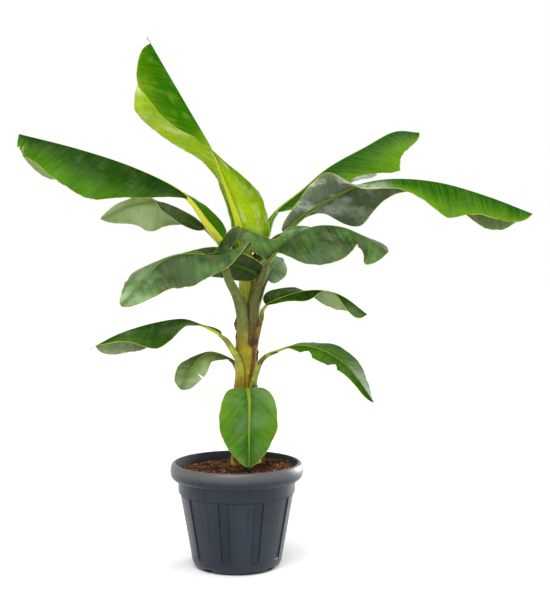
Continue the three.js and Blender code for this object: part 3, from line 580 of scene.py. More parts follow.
class Wire:
    """A node's output. Sums, differences and products of wires are Math nodes."""

    def __init__(self, made, output=0):
        self.socket = made.outputs[output]
        self.tree = made.id_data

    def maths(self, operation, other=0.0):
        return Wire(node(self.tree, "Math", {0: self, 1: other}, operation=operation))

    def __add__(self, other):
        return self.maths("ADD", other)

    def __sub__(self, other):
        return self.maths("SUBTRACT", other)

    def __mul__(self, other):
        return self.maths("MULTIPLY", other)

    def vectors(self, operation, other=(0, 0, 0)):
        return Wire(node(self.tree, "VectorMath", {0: self, 1: other}, operation=operation))

    def scaled(self, x, y, z):
        return self.vectors("MULTIPLY", (x, y, z))

    def step(self, low, high):
        """0 below low, 1 above high, and smooth between. It falls where low is the larger."""
        return Wire(node(self.tree, "MapRange", {0: self, 1: low, 2: high}, interpolation_type="SMOOTHSTEP"))

    def noise(self, scale, detail=3.0, roughness=0.5):
        """Noise at a vector, about 0.5 in the middle."""
        wires = {"Vector": self, "Scale": scale, "Detail": detail, "Roughness": roughness}
        return Wire(node(self.tree, "TexNoise", wires), "Fac")


def node(tree, kind, wires=None, **settings):
    """New shader node. wires gives inputs, by name or number, a value or a wire."""
    made = tree.nodes.new("ShaderNode" + kind)
    for name, value in settings.items():
        setattr(made, name, value)
    for key, value in (wires or {}).items():
        if isinstance(value, Wire):
            tree.links.new(value.socket, made.inputs[key])
        else:
            made.inputs[key].default_value = value
    return made


def blend(amount, a, b, how="MIX"):
    """Colour mix of a and b, each (r, g, b) or a wire. At least one of the three is a wire."""
    tree = next(part.tree for part in (amount, a, b) if isinstance(part, Wire))
    wires = {0: amount}
    for place, colour in ((6, a), (7, b)):
        wires[place] = colour if isinstance(colour, Wire) else (*colour, 1)
    return Wire(node(tree, "Mix", wires, data_type="RGBA", blend_type=how), 2)


def layer_of(tree, name):
    """The two numbers of a UV layer."""
    parts = node(tree, "SeparateXYZ", {0: Wire(node(tree, "UVMap", uv_map=name))})
    return Wire(parts, 0), Wire(parts, 1)


def place_of(tree):
    """Place on the object, in metres."""
    return Wire(node(tree, "TexCoord"), "Object")


def lines_of(across, along):
    return Wire(node(across.tree, "CombineXYZ", {0: across, 1: along}))


def streaks_along(tree, spread, stretch):
    """Streaks along a limb: spread is how many there are round it, stretch how short they are."""
    across, along = layer_of(tree, "blade")
    return lines_of(across * spread, along).scaled(1, stretch, 1).noise(1.0, 4.0, 0.6)


def start_material(name, roughness, **plain):
    """New material with plain values set on its shader's sockets, and its node tree."""
    made = bpy.data.materials.new(name)
    made.use_nodes = True
    sockets = made.node_tree.nodes["Principled BSDF"].inputs
    sockets["Roughness"].default_value = roughness
    for key, value in plain.items():
        sockets[key.replace("_", " ")].default_value = value
    return made, made.node_tree


def finish_material(made, relief, distance, strength, **wires):
    """The material, with a relief of some metres and wires to its shader's other sockets."""
    tree = made.node_tree
    bump = node(tree, "Bump", {"Height": relief, "Distance": distance, "Strength": strength})
    for key, wire in dict(wires, Normal=Wire(bump)).items():
        tree.links.new(wire.socket, tree.nodes["Principled BSDF"].inputs[key.replace("_", " ")])
    return made


# Materials

def leaf_material(name, deep, bright, vein, bloom_and_sheen, roughness, vein_share, mottle, bands, rust, shine):
    """A leaf's face: veins sweep out from the rib, and tone goes from deep to bright, partly the
    leaf's own greens and partly painted light and shade. A pale waxy cast in clouds and in bands
    along the veins doubles as a painted sheen. Brownish patches, painted shade beside the rib
    and a few brown specks lie on it, and the margin is a thin yellow or brown line."""
    made, tree = start_material(name, roughness, Specular_IOR_Level=shine)
    across, along = layer_of(tree, "blade")
    to_margin, from_rib = layer_of(tree, "edge")
    tone, cast = layer_of(tree, "paint")
    place = place_of(tree)
    lines = lines_of(across * 1.3, along)
    fine = lines.scaled(1, 420, 1).noise(1.0, 2.0)
    broad = lines.scaled(1, 75, 1).noise(1.0, 2.0)
    clouds = place.noise(16.0, 3.0, 0.6)
    # tone is partly the leaf's own greens and partly painted light and shade: bright where light would shine
    # through, deep where the blade would be in shade.
    level = tone + (clouds - 0.5) * mottle + (broad - 0.5) * (mottle * 0.6)
    colour = blend(level.step(0.0, 1.0), deep, bright)
    colour = blend(fine.step(0.42, 0.76) * vein_share, colour, vein)
    brown = lines.scaled(2.4, 34, 1).noise(1.0, 3.0, 0.6).step(0.45, 0.75)
    colour = blend(brown * rust, colour, (0.105, 0.078, 0.042))
    patches = place.scaled(1, 1, 1.6).noise(9.0, 4.0, 0.65).step(0.44, 0.65)
    # Painted sheen: pale bands along the veins and clouds of the waxy cast lighten the face as glossy
    # highlights would.
    banded = lines.scaled(3.2, 20, 1).noise(1.0, 3.0, 0.55).step(0.47, 0.80) * bands
    cloudy = cast * (patches * 0.9 + 0.1)
    colour = blend(cloudy.maths("MAXIMUM", banded), colour, bloom_and_sheen)
    # Painted shade: within about 14 mm of the rib the face darkens towards deep.
    colour = blend(from_rib.step(0.014, 0.001) * 0.35, colour, deep)
    specks = place.noise(95.0, 2.0, 0.7).step(0.745, 0.78)
    colour = blend(specks * 0.75, colour, (0.12, 0.07, 0.02))
    margin = blend(clouds.step(0.54, 0.66), (0.46, 0.50, 0.08), (0.20, 0.11, 0.03))
    ragged = to_margin + place.noise(60.0) * 0.0012
    colour = blend(ragged.step(0.0022, 0.0013), colour, margin)
    gloss = clouds * 0.16 + (roughness - 0.08)
    return finish_material(made, fine + broad * 1.5, 0.0012, 0.8, Base_Color=colour, Roughness=gloss)


def stalk_material(name, sheath, green, edge, purple):
    """A leaf stalk: brownish where it wraps the stem, green above, streaked lengthwise, with a
    thin margin of its own colour and purple-brown stains."""
    made, tree = start_material(name, 0.42, Specular_IOR_Level=LIMB_SHINE)
    streaks = streaks_along(tree, 26.0, 9)
    clouds = place_of(tree).noise(30.0, 3.0, 0.6)
    colour = blend(layer_of(tree, "paint")[0].step(0.1, 0.9), sheath, green)
    light = blend(streaks.step(0.35, 0.7), (0.55, 0.5, 0.4), (1.25, 1.2, 1.1))
    colour = blend(0.8, colour, light, "MULTIPLY")
    stain = (clouds + streaks * 0.5).step(0.69, 0.84)
    colour = blend(stain * purple, colour, (0.075, 0.035, 0.018))
    from_middle = (layer_of(tree, "blade")[0] - 0.5).maths("ABSOLUTE")
    colour = blend(from_middle.step(0.455, 0.485), colour, edge)
    return finish_material(made, streaks, 0.0009, 0.6, Base_Color=colour)


def stem_material():
    """The core of the pseudostem: olive and ochre streaks with purple-brown stains."""
    made, tree = start_material("stem", 0.45, Specular_IOR_Level=LIMB_SHINE)
    streaks = streaks_along(tree, 40.0, 6)
    clouds = place_of(tree).noise(22.0, 4.0, 0.65)
    colour = blend(streaks.step(0.3, 0.75), (0.20, 0.15, 0.005), (0.60, 0.52, 0.008))
    colour = blend(clouds.step(0.52, 0.72), colour, (0.27, 0.12, 0.02))
    dark = (clouds + streaks * 0.4).step(0.77, 0.88)
    colour = blend(dark * 0.85, colour, (0.035, 0.02, 0.01))
    return finish_material(made, streaks, 0.0012, 0.7, Base_Color=colour)


def rib_face():
    """The midrib: yellow-green and paler than the blade, duller towards the tip."""
    made, tree = start_material("midrib", 0.36, Specular_IOR_Level=LIMB_SHINE)
    way, yellow = layer_of(tree, "paint")
    streaks = streaks_along(tree, 14.0, 7)
    colour = blend(yellow * way.step(1.9, 0.1), (0.05, 0.13, 0.012), (0.70, 0.74, 0.04))
    light = blend(streaks.step(0.3, 0.7), (0.65, 0.62, 0.5), (1.15, 1.15, 1.1))
    colour = blend(0.8, colour, light, "MULTIPLY")
    return finish_material(made, streaks, 0.0006, 0.5, Base_Color=colour)


def pot_material():
    """Anthracite plastic: satin, with faint moulding streaks down the wall and a paler foot. The
    rim's top is painted paler as a highlight, and painted shade darkens the recesses, the steps
    under the collar and the rim, and the wall inside."""
    made, tree = start_material("pot", 0.34, Specular_IOR_Level=0.4, Specular_Tint=(0.76, 0.87, 1, 1))
    groove, _ = layer_of(tree, "blade")
    place = place_of(tree)
    height = Wire(node(tree, "SeparateXYZ", {0: place}), 2)
    turn = place.scaled(1, 1, 0).vectors("NORMALIZE")
    streaks = turn.scaled(34, 34, 0).vectors("ADD", place.scaled(0, 0, 3)).noise(1.0, 3.0, 0.6)
    dusty = streaks * 0.6 + place.noise(11.0, 4.0, 0.6) * 0.6
    colour = blend(dusty.step(0.40, 0.85), (0.004, 0.006, 0.011), (0.017, 0.023, 0.035))
    colour = blend(height.step(0.05, 0.0) * 0.30, colour, (0.030, 0.036, 0.046))
    # Painted highlight: the rim's top is painted a paler grey.
    colour = blend(height.step(0.208, 0.228) * 0.8, colour, (0.125, 0.120, 0.115))
    # Painted shade from the blade layer: near black in the recesses, under the collar's and rim's steps and
    # on the wall inside.
    colour = blend(groove * 0.75, colour, (0.001, 0.001, 0.002))
    rough = dusty * 0.18 + 0.24 + groove * 0.4
    relief = streaks + place.noise(420.0, 2.0) * 0.12
    return finish_material(made, relief, 0.0006, 0.5, Base_Color=colour, Roughness=rough)


def earth_material(name, dark, light):
    """Soil, its bits and dried scraps: rough, and grained from dark to light."""
    made, tree = start_material(name, 0.95, Specular_IOR_Level=0.15)
    grain = place_of(tree).noise(240.0, 5.0, 0.7)
    return finish_material(made, grain, 0.002, 0.9, Base_Color=blend(grain.step(0.3, 0.7), dark, light))


# Leaves

def leaf_line(leaf):
    """A leaf's line from its foot on the stem to its tip: evenly spaced points with a frame at
    each, where side is the leaf's left and up points out of its upper face."""
    knots = np.array(leaf["stalk"] + leaf["midrib"], float)
    padded = np.vstack([2 * knots[0] - knots[1], knots, 2 * knots[-1] - knots[-2]])
    f = np.linspace(0, 1, 40, endpoint=False)[:, None]
    fine = [
        0.5 * (2 * b + (c - a) * f + (2 * a - 5 * b + 4 * c - d) * f**2 + (3 * b - a - 3 * c + d) * f**3)
        for a, b, c, d in zip(padded, padded[1:], padded[2:], padded[3:])
    ]
    fine = np.vstack(fine + [knots[-1:]])
    travelled = np.concatenate([[0], np.cumsum(np.linalg.norm(np.diff(fine, axis=0), axis=1))])
    even = np.linspace(0, travelled[-1], LINE_STEPS + 1)
    points = np.stack([np.interp(even, travelled, fine[:, k]) for k in range(3)], 1)
    forward = unit(np.gradient(points, axis=0))
    heading = radians(leaf["heading"])
    side = np.array([-math.sin(heading), math.cos(heading), 0])
    sides = []
    for way in forward:
        side = side - side.dot(way) * way
        side = side / np.linalg.norm(side)
        sides.append(side)
    sides = np.array(sides)
    start = int(np.argmin(np.linalg.norm(points - knots[len(leaf["stalk"])], axis=1)))
    return {
        "point": points, "forward": forward, "side": sides, "up": np.cross(forward, sides),
        "start": start, "step": travelled[-1] / LINE_STEPS,
        "length": travelled[-1] / LINE_STEPS * (LINE_STEPS - start),
    }


def frames_at(line, places, roll):
    """Frames between a line's samples, rolled about it by angles."""
    whole = np.arange(LINE_STEPS + 1)
    point, forward, side = (
        np.stack([np.interp(places, whole, line[key][:, k]) for k in range(3)], 1)
        for key in ("point", "forward", "side"))
    forward = unit(forward)
    side = unit(side - (side * forward).sum(1, keepdims=True) * forward)
    up = np.cross(forward, side)
    cos, sin = np.cos(roll)[:, None], np.sin(roll)[:, None]
    return point, forward, side * cos + up * sin, up * cos - side * sin


def blade_rows(leaf, line):
    """Values of t for a blade's rows, from the collar to the tip, and the frames there."""
    ts = np.linspace(0, 1, BLADE_ROWS + 1)
    ts = 0.7 * ts + 0.3 * (0.5 - 0.5 * np.cos(np.pi * ts))
    places = line["start"] + ts * (LINE_STEPS - line["start"])
    return ts, frames_at(line, places, np.radians(listed(leaf, "roll", ts)))


def rib_radius(leaf, ts):
    """Radius of the midrib: the stalk's at the collar, and less than a millimetre at the tip."""
    return leaf["radius"] * listed(leaf, "rib", ts, RIB) * np.sqrt(1 - ts * 0.9) + 0.2


def half_blade(leaf, line, ts, frames, way, rng):
    """Grid of a half blade's points from the rib to the margin, its half width at each row."""
    point, forward, side, up = frames
    half = leaf["left" if way > 0 else "right"]
    power = math.log(0.5) / math.log(leaf["widest"])
    width = leaf["width"] * np.sin(np.pi * np.minimum(ts, 0.9999) ** power) ** leaf["blunt"]
    width = np.maximum(width * listed(half, "scale", ts, [1]), MARGIN_STRIP)
    flat = np.minimum(width / FLAT_WIDTH, 1)
    fold = np.radians(listed(half, "fold", ts)) * flat
    curl = np.radians(listed(half, "curl", ts)) * flat
    lean = np.tan(np.radians(listed(half, "lean", ts, LEAN_DEFAULT))) * SHEAR
    lean = lean * np.minimum((1 - ts) / LEAN_TAPER, 1)

    length = line["length"]
    along = ts * length
    edge = width * sum((share * wander(rng, length, wave, along) for wave, share in MARGIN_WAVES), 1)
    for place, depth, spread in half.get("tears", []):
        edge = edge * (1 - depth * np.clip(1 - np.abs(ts - place) / spread, 0, 1) ** 0.6)
    inset = np.minimum(rib_radius(leaf, ts) * 0.93, 0.6 * edge)

    us = np.linspace(0, 1, BLADE_COLUMNS + 1)
    middles = (us[1:] + us[:-1]) / 2
    angle = fold[:, None] + curl[:, None] * middles
    span = ((edge - inset) / BLADE_COLUMNS)[:, None]
    lead = np.zeros((len(ts), 1))
    across = inset[:, None] + np.hstack([lead, np.cumsum(np.cos(angle) * span, axis=1)])
    above = np.hstack([lead, np.cumsum(np.sin(angle) * span, axis=1)])

    room = np.minimum(width / RUFFLE_WIDTH, 1)[:, None]
    ruffle = room * (RUFFLE * half.get("ruffle", 1))
    relief = sum(ruffle * share * us**power * wander(rng, length, wave, along)[:, None]
                 for wave, share, power in RUFFLE_WAVES)
    pleats = sum(share * wander(rng, length, wave, along) for wave, share in PLEAT_WAVES)
    relief = relief + room * PLEAT * smooth(0, 0.15, us) * pleats[:, None]
    tilt = fold[:, None] + curl[:, None] * us
    across = across - np.sin(tilt) * relief
    above = above + np.cos(tilt) * relief

    grid = (point[:, None] + side[:, None] * (way * across)[..., None] + up[:, None] * above[..., None]
            + forward[:, None] * (lean[:, None] * us * width[:, None])[..., None])
    return grid, edge


def grid_normals(grid):
    """Unit normals of a grid of points, on the side that rows cross columns."""
    return unit(np.cross(np.gradient(grid, axis=0), np.gradient(grid, axis=1)))


def channel(frames, radius, depth, groove, columns, clasp=0.0):
    """Outer and inner arcs of a channelled limb: round below and hollowed above. Where it clasps,
    its margins rise past half round, by an angle in radians."""
    point, _, side, up = frames
    turn = np.linspace(-1, 1, columns + 1) * (np.pi / 2 + np.broadcast_to(clasp, len(point))[:, None])
    radius, depth, groove = (np.asarray(value, float)[:, None, None] for value in (radius, depth, groove))
    sine, cosine = np.sin(turn)[..., None], np.cos(turn)[..., None]
    outer = point[:, None] + side[:, None] * radius * sine - up[:, None] * depth * cosine
    inner = (point[:, None] + side[:, None] * radius * 0.86 * sine
             + up[:, None] * (radius * 0.08 - groove * cosine))
    return outer, inner


def blade_piece(leaf, line, rng):
    """One leaf's blade: two thin halves on a rib, with the upper and lower faces' materials."""
    ts, frames = blade_rows(leaf, line)
    length = line["length"]
    parts = []
    for way in (1, -1):
        half = leaf["left" if way > 0 else "right"]
        grid, width = half_blade(leaf, line, ts, frames, way, rng)
        normal = way * grid_normals(grid)
        thick = BLADE_THICKNESS / 2 * (1 - 0.5 * np.linspace(0, 1, grid.shape[1]))[None, :, None]
        points, faces, sides = shell(grid + normal * thick, grid - normal * thick, flip=way > 0)
        us = np.broadcast_to(np.linspace(0, 1, grid.shape[1]), grid.shape[:2])
        swept = ts[:, None] * length - leaf.get("slant", SLANT) * us * width[:, None]
        place = np.stack([0.5 + way * us / 2, swept * MM], -1)
        edge = np.stack([(1 - us) * width[:, None] * MM, us * width[:, None] * MM], -1)
        # tone carries painted light and shade along with the leaf's own greens, and bloom the waxy cast with
        # its painted sheen.
        paint = np.stack([
            listed(half, key, ts)[:, None] + (us - 0.5) * listed(half, key + "_out", ts)[:, None]
            for key in ("tone", "bloom_and_sheen")], -1)
        layers = both_sides(place, edge, np.clip(paint, 0, 1))
        parts.append([points, faces, np.choose(sides, [0, 1, 0])] + layers)
    radius = rib_radius(leaf, ts)
    outer, inner = channel(frames, radius, radius * 0.8, radius * 0.25, RIB_COLUMNS)
    points, faces, sides = shell(outer, inner)
    across = np.broadcast_to(np.linspace(0, 1, outer.shape[1]), outer.shape[:2])
    place = np.stack([across, np.broadcast_to((ts * length * MM)[:, None], across.shape)], -1)
    tone = np.broadcast_to(ts[:, None], across.shape)
    paint = np.stack([tone, np.full_like(tone, leaf["rib_tone"])], -1)
    parts.append([points, faces, np.full(len(faces), 2)] + both_sides(place, np.zeros_like(place), paint))
    points, faces, slots, place, edge, paint = join(parts)
    return points, faces, slots, {"blade": place, "edge": edge, "paint": paint}


def stem_at(height):
    """The stem's place along x and its radius at some heights."""
    heights, places, radii = np.array(STEM_SHAPE, float).T
    near = [height + away for away in STEM_BLUR]
    place = np.mean([np.interp(one, heights, places) for one in near], axis=0)
    radius = np.mean([np.interp(one, heights, radii) for one in near], axis=0)
    return place, radius


def stem_arc(heights, azimuth, wrap, turns):
    """Rows of an arc round the stem: wrap degrees to each side of azimuth, turns from -1 to 1."""
    place, radius = (value[:, None] for value in stem_at(heights))
    angle = np.radians(azimuth + wrap[:, None] * turns[None, :])
    level = np.broadcast_to(heights[:, None], angle.shape)
    return np.stack([place + radius * np.cos(angle), radius * np.sin(angle), level], -1)


def stalk_piece(leaf, line, rng):
    """A leaf's stalk: a sheath round the stem that draws together into a channelled limb."""
    azimuth, foot, wrap, proud = leaf["sheath"]
    turns = np.linspace(-1, 1, STALK_COLUMNS + 1)
    places = np.linspace(0, line["start"] + 2 / line["step"], STALK_ROWS)
    ts = places / places[-1]
    away = places * line["step"]
    facing = np.array([math.cos(radians(azimuth)), math.sin(radians(azimuth)), 0])
    foot_roll = math.atan2(line["side"][0] @ facing, -(line["up"][0] @ facing))
    head_roll = radians(station_at(leaf.get("roll", [0]), 0))
    twist = (foot_roll - head_roll + math.pi) % (2 * math.pi) - math.pi
    frames = frames_at(line, places, head_roll + twist * (1 - smooth(0.15, 1, ts)))
    radius = leaf["radius"] * stations(STALK_SHAPE, ts)
    clasp = STALK_CLASP * (1 - smooth(0.8, 1, ts))
    outer, inner = channel(frames, radius * 1.08, radius, radius * 0.3, STALK_COLUMNS, clasp)

    share = smooth(0, min(SHEATH_BLEND, 0.8 * away[-1]), away)
    start = line["point"][0][2]
    below = np.linspace(foot, start, SHEATH_ROWS, endpoint=False)
    heights = np.concatenate([below, frames[0][:, 2]])
    run = np.clip((heights - foot) / (start - foot), 0, 1)
    around = SHEATH_WRAP + (wrap - SHEATH_WRAP) * (1 - run) ** 1.3
    around[SHEATH_ROWS:] *= 1 - 0.5 * share
    ridges = SHEATH_RIDGES * wander(rng, 2, 0.11, turns + 1) * (1 - turns**6)
    risen = smooth(foot, foot + SHEATH_FOOT, heights)
    lift = proud * risen - SHEATH_SINK * (1 - risen)
    arc_outer = stem_arc(heights, azimuth, around, turns)
    place, _ = stem_at(heights)
    out = arc_outer.copy()
    out[..., 0] -= place[:, None]
    out[..., 2] = 0
    out = unit(out)
    arc_inner = arc_outer - out * SHEATH_DEPTH
    arc_outer = arc_outer + out * (lift[:, None] + ridges[None, :])[..., None]

    mix = share[:, None, None]
    outer = np.concatenate([arc_outer[:SHEATH_ROWS], arc_outer[SHEATH_ROWS:] * (1 - mix) + outer * mix])
    inner = np.concatenate([arc_inner[:SHEATH_ROWS], arc_inner[SHEATH_ROWS:] * (1 - mix) + inner * mix])
    points, faces, _ = shell(outer, inner)
    path = np.concatenate([below - start, away])[:, None]
    green_from = leaf["colours"][4]
    across, along, tone, none = np.broadcast_arrays(
        turns / 2 + 0.5, (path + 400) * MM, smooth(green_from, green_from + GREEN_OVER, path), 0)
    blade, paint = both_sides(np.stack([across, along], -1), np.stack([tone, none], -1))
    return points, faces, {"blade": blade, "paint": paint}


def build_leaf(leaf):
    """Blade and stalk of a leaf, which stand for its solids."""
    name = leaf["name"]
    rng = np.random.default_rng(SEED + sum(name.encode()))
    line = leaf_line(leaf)
    points, faces, slots, layers = blade_piece(leaf, line, rng)
    materials = face_materials[leaf["slot"]] + [rib_material]
    blade = add_mesh(name + "_leaf", points, faces, materials, slots, layers)
    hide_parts(*[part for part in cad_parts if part.startswith(name + "_blade")])
    points, faces, layers = stalk_piece(leaf, line, rng)
    material = stalk_material("stalk_" + name[5:], *leaf["colours"][:4])
    stalk = add_mesh(name + "_petiole", points, faces, [material], None, layers)
    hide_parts(name + "_stalk")


# Stem, pot and soil

def build_stem():
    """The stem's core, with lengthwise ridges and a rounded head."""
    rng = np.random.default_rng(SEED + 1)
    heights = np.concatenate([np.linspace(STEM_SHAPE[0][0], STEM_SHAPE[-1][0], STEM_ROWS), STEM_HEAD])
    place, radius = stem_at(heights)
    radius[-2:] *= STEM_HEAD_SHARES
    angle = np.linspace(0, 2 * np.pi, STEM_COLUMNS, endpoint=False)
    ridges = STEM_RELIEF * wander(rng, 2 * np.pi, 0.21, angle)
    relief = STEM_RELIEF * hills(rng, 1, angle[None, :] * 3, heights[:, None] / 24)
    reach = radius[:, None] + ridges[None, :] + relief
    level = np.broadcast_to(heights[:, None], reach.shape)
    rings = np.stack([place[:, None] + reach * np.cos(angle), reach * np.sin(angle), level], -1)
    points, faces = capped(rings)
    turn = np.broadcast_to(np.arange(STEM_COLUMNS) / STEM_COLUMNS, reach.shape)
    layers = {"blade": np.stack([turn, level * MM], -1).reshape(-1, 2)}
    piece = add_mesh("stem_core", points, faces, [stem_material()], None, layers)
    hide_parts("pseudostem")


def wall_radius(height):
    """Inner radius of the pot's wall at a height."""
    heights = [POT_FLOOR, BODY_TOP, POT_HEIGHT]
    return np.interp(height, heights, [FOOT_RADIUS - POT_WALL, BODY_TOP_RADIUS - POT_WALL, RIM_INNER_RADIUS])


def rounded(corners, size, steps=4):
    """A line through corners, each of them rounded off."""
    corners = np.array(corners, float)
    line = [corners[:1]]
    for before, corner, after in zip(corners, corners[1:], corners[2:]):
        cut = min(size, 0.4 * np.linalg.norm(before - corner), 0.4 * np.linalg.norm(after - corner))
        a = corner + unit(before - corner) * cut
        b = corner + unit(after - corner) * cut
        f = np.linspace(0, 1, steps + 1)[:, None]
        line.append(a * (1 - f) ** 2 + 2 * corner * f * (1 - f) + b * f**2)
    return np.vstack(line + [corners[-1:]])


def pot_section():
    """The pot's wall in section as (radius, height), from under the foot round to the inner floor,
    and whether each point is on the outside."""
    roll = np.radians(np.linspace(-75, 90, 25))
    rim = np.stack([RIM_RADIUS - RIM_ROLL[0] * (1 - np.cos(roll)),
                    POT_HEIGHT - RIM_ROLL[1] * (1 - np.sin(roll))], 1)
    outside = rounded([
        (AXIS_GAP, 0), (UNDERSIDE_RING, 0), (FOOT_RADIUS - FOOT_ROUND, 0),
        (FOOT_RADIUS - FOOT_ROUND / 3, FOOT_ROUND / 2), (FOOT_RADIUS, FOOT_HEIGHT),
        (FOOT_RADIUS + 2, PANEL_FOOT), (BODY_TOP_RADIUS, BODY_TOP - 2), (BODY_TOP_RADIUS, BODY_TOP),
        (COLLAR_RADIUS - 1, BODY_TOP + 3), (COLLAR_RADIUS, POT_HEIGHT - RIM_DROP), rim[0],
    ], CORNER_ROUND)
    fine = [outside[:1]]
    for a, b in zip(outside, outside[1:]):
        pieces = max(1, int(np.ceil(np.linalg.norm(b - a) / SECTION_STEP)))
        fine.append(a + (b - a) * (np.arange(1, pieces + 1) / pieces)[:, None])
    outside = np.vstack(fine)
    inside = rounded([rim[-1], (RIM_INNER_RADIUS, POT_HEIGHT - 1), (wall_radius(BODY_TOP), BODY_TOP),
                      (wall_radius(POT_FLOOR), POT_FLOOR), (AXIS_GAP, POT_FLOOR)], CORNER_ROUND)
    section = np.vstack([outside, rim[1:], inside[1:]])
    return section, np.arange(len(section)) < len(outside)


def angles_beside(phase, count, offsets):
    """Angles at offsets to both sides of a count of evenly spaced ones, all in degrees."""
    return {round((phase + i * 360 / count + way * offset) % 360, 3)
            for i in range(count) for offset in offsets for way in (-1, 1)}


def pot_rings():
    """The pot, with recesses between its panels and four notches under its foot, and how much
    painted shade each point takes: at and in the recesses, under the collar's and rim's steps,
    and on the wall inside."""
    section, outside = pot_section()
    angles = angles_beside(PANEL_PHASE, PANEL_COUNT, PANEL_COLUMNS)
    angles = np.array(sorted(angles | angles_beside(NOTCH_PHASE, NOTCH_COUNT, NOTCH_COLUMNS)))
    away = (angles - PANEL_PHASE + PANEL_PITCH / 2) % PANEL_PITCH - PANEL_PITCH / 2
    in_recess = smooth(RECESS_WIDTH / 2 + 0.5, RECESS_WIDTH / 2 - 0.5, np.abs(away))
    radius, height = section.T
    cut = smooth(PANEL_FOOT, PANEL_FOOT + 4, height) * smooth(BODY_TOP + 1, BODY_TOP - 3, height) * outside
    reach = radius[:, None] - RECESS_DEPTH * cut[:, None] * in_recess[None, :]
    crown = 0.5 * np.cos(np.radians(away * 180 / PANEL_PITCH))
    reach = reach - cut[:, None] * (0.5 - crown)[None, :] * (1 - in_recess)[None, :]
    across = FOOT_RADIUS * np.radians((angles - NOTCH_PHASE + 45) % 90 - 45)
    notched = (np.abs(across) < NOTCH_WIDTH / 2)[None, :] & (reach > NOTCH_REACH) & outside[:, None]
    level = np.broadcast_to(height[:, None], reach.shape)
    level = np.where(notched, np.maximum(level, NOTCH_HEIGHT), level)
    turn = np.radians(angles)[None, :]
    rings = np.stack([reach * np.cos(turn), reach * np.sin(turn), level], -1)
    # Painted shade: dark lines at the recesses' edges, a lighter darkening within them, rings under the
    # collar's and rim's steps, and the wall inside.
    sides = np.exp(-((np.abs(away) - RECESS_WIDTH / 2) / 0.55) ** 2)[None, :] * cut[:, None]
    steps = [BODY_TOP + 1, POT_HEIGHT - RIM_DROP]
    under = sum(np.exp(-((height - one) / 2) ** 2) for one in steps)[:, None] * outside[:, None]
    within = (~outside & (radius < RIM_INNER_RADIUS + 1))[:, None]
    painted_shade = np.maximum(under, within)
    return rings, np.maximum(sides + 0.25 * cut[:, None] * in_recess[None, :], painted_shade)


def build_pot():
    rings, groove = pot_rings()
    points, faces = capped(rings)
    # The blade layer carries the painted shade to the pot's material.
    layers = {"blade": np.stack([groove, groove * 0], -1).reshape(-1, 2)}
    piece = add_mesh("pot_body", points, faces, [pot_material()], None, layers)
    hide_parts("pot")


def soil_height(x, y):
    """Height of the soil's top, level at the stem."""
    away = np.hypot(x, y) / RIM_INNER_RADIUS
    return SOIL_EDGE + SOIL_HEAP * (1 - away**2) + SOIL_SLOPE * (x - y) / RIM_RADIUS


def soil_rings(rng):
    """The soil's bed: a skirt down the pot's wall and an uneven top."""
    angle = np.linspace(0, 2 * np.pi, SOIL_COLUMNS, endpoint=False)[None, :]
    edge = float(wall_radius(SOIL_EDGE)) - 0.6
    reach = np.linspace(edge, 3, SOIL_RINGS)[:, None]
    x, y = reach * np.cos(angle), reach * np.sin(angle)
    uneven = sum(height * hills(rng, wavelength, x, y) for height, wavelength in SOIL_RELIEF)
    level = soil_height(x, y) + uneven * smooth(edge + 1, edge - 8, reach)
    top = np.stack([x, y, level], -1)
    skirt = top[:1].copy()
    skirt[..., :2] *= (wall_radius(SOIL_SKIRT) - 1) / edge
    skirt[..., 2] = SOIL_SKIRT
    return np.concatenate([skirt, top])


def ball(subdivisions):
    """Points and triangles of a round lump of radius 1."""
    made = bmesh.new()
    bmesh.ops.create_icosphere(made, subdivisions=subdivisions, radius=1)
    points = np.array([corner.co[:] for corner in made.verts])
    faces = np.array([[corner.index for corner in face.verts] for face in made.faces])
    made.free()
    return points, faces


def turned(points, angle, a, b):
    """Sets of points, each set turned by its angle from axis a towards axis b."""
    cos, sin = np.cos(angle)[:, None], np.sin(angle)[:, None]
    out = points.copy()
    out[..., a] = points[..., a] * cos - points[..., b] * sin
    out[..., b] = points[..., a] * sin + points[..., b] * cos
    return out


def lumps(rng, base, count, size, flatness):
    """Many irregular bits strewn over the soil, as one set of points and faces."""
    shape, faces = base
    angle = rng.uniform(0, 2 * np.pi, count)
    away = (float(wall_radius(SOIL_EDGE)) - LITTER_MARGIN) * np.sqrt(rng.uniform(0, 1, count))
    x, y = away * np.cos(angle), away * np.sin(angle)
    centre = np.stack([x, y, soil_height(x, y) + LITTER_SPREAD * rng.uniform(-0.5, 1, count)], -1)
    scale = rng.uniform(*size, (count, 1)) * np.stack([
        np.ones(count), rng.uniform(*LITTER_WIDTHS, count), rng.uniform(*flatness, count)], -1)
    turn, tip = rng.uniform(0, 2 * np.pi, count), rng.normal(0, LITTER_TIP, count)
    uneven = 1 + rng.uniform(-LITTER_UNEVEN, LITTER_UNEVEN, (count, len(shape), 1))
    bits = shape[None] * uneven * scale[:, None]
    bits = turned(turned(bits, tip, 1, 2), turn, 0, 1)
    starts = (np.arange(count) * len(shape))[:, None, None]
    return (bits + centre[:, None]).reshape(-1, 3), (faces[None] + starts).reshape(-1, faces.shape[1])


def build_soil():
    rng = np.random.default_rng(SEED + 2)
    points, faces = capped(soil_rings(rng))
    earth = earth_material("soil", (0.008, 0.004, 0.003), (0.07, 0.030, 0.015))
    bed = add_mesh("soil_bed", points, faces, [earth])
    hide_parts("soil")
    for name, count, fineness, size, flatness, colours in LITTER:
        points, faces = lumps(rng, ball(fineness), count, size, flatness)
        piece = add_mesh(name, points, faces, [earth_material(name, *colours)], smooth_faces=False)
        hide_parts("soil")


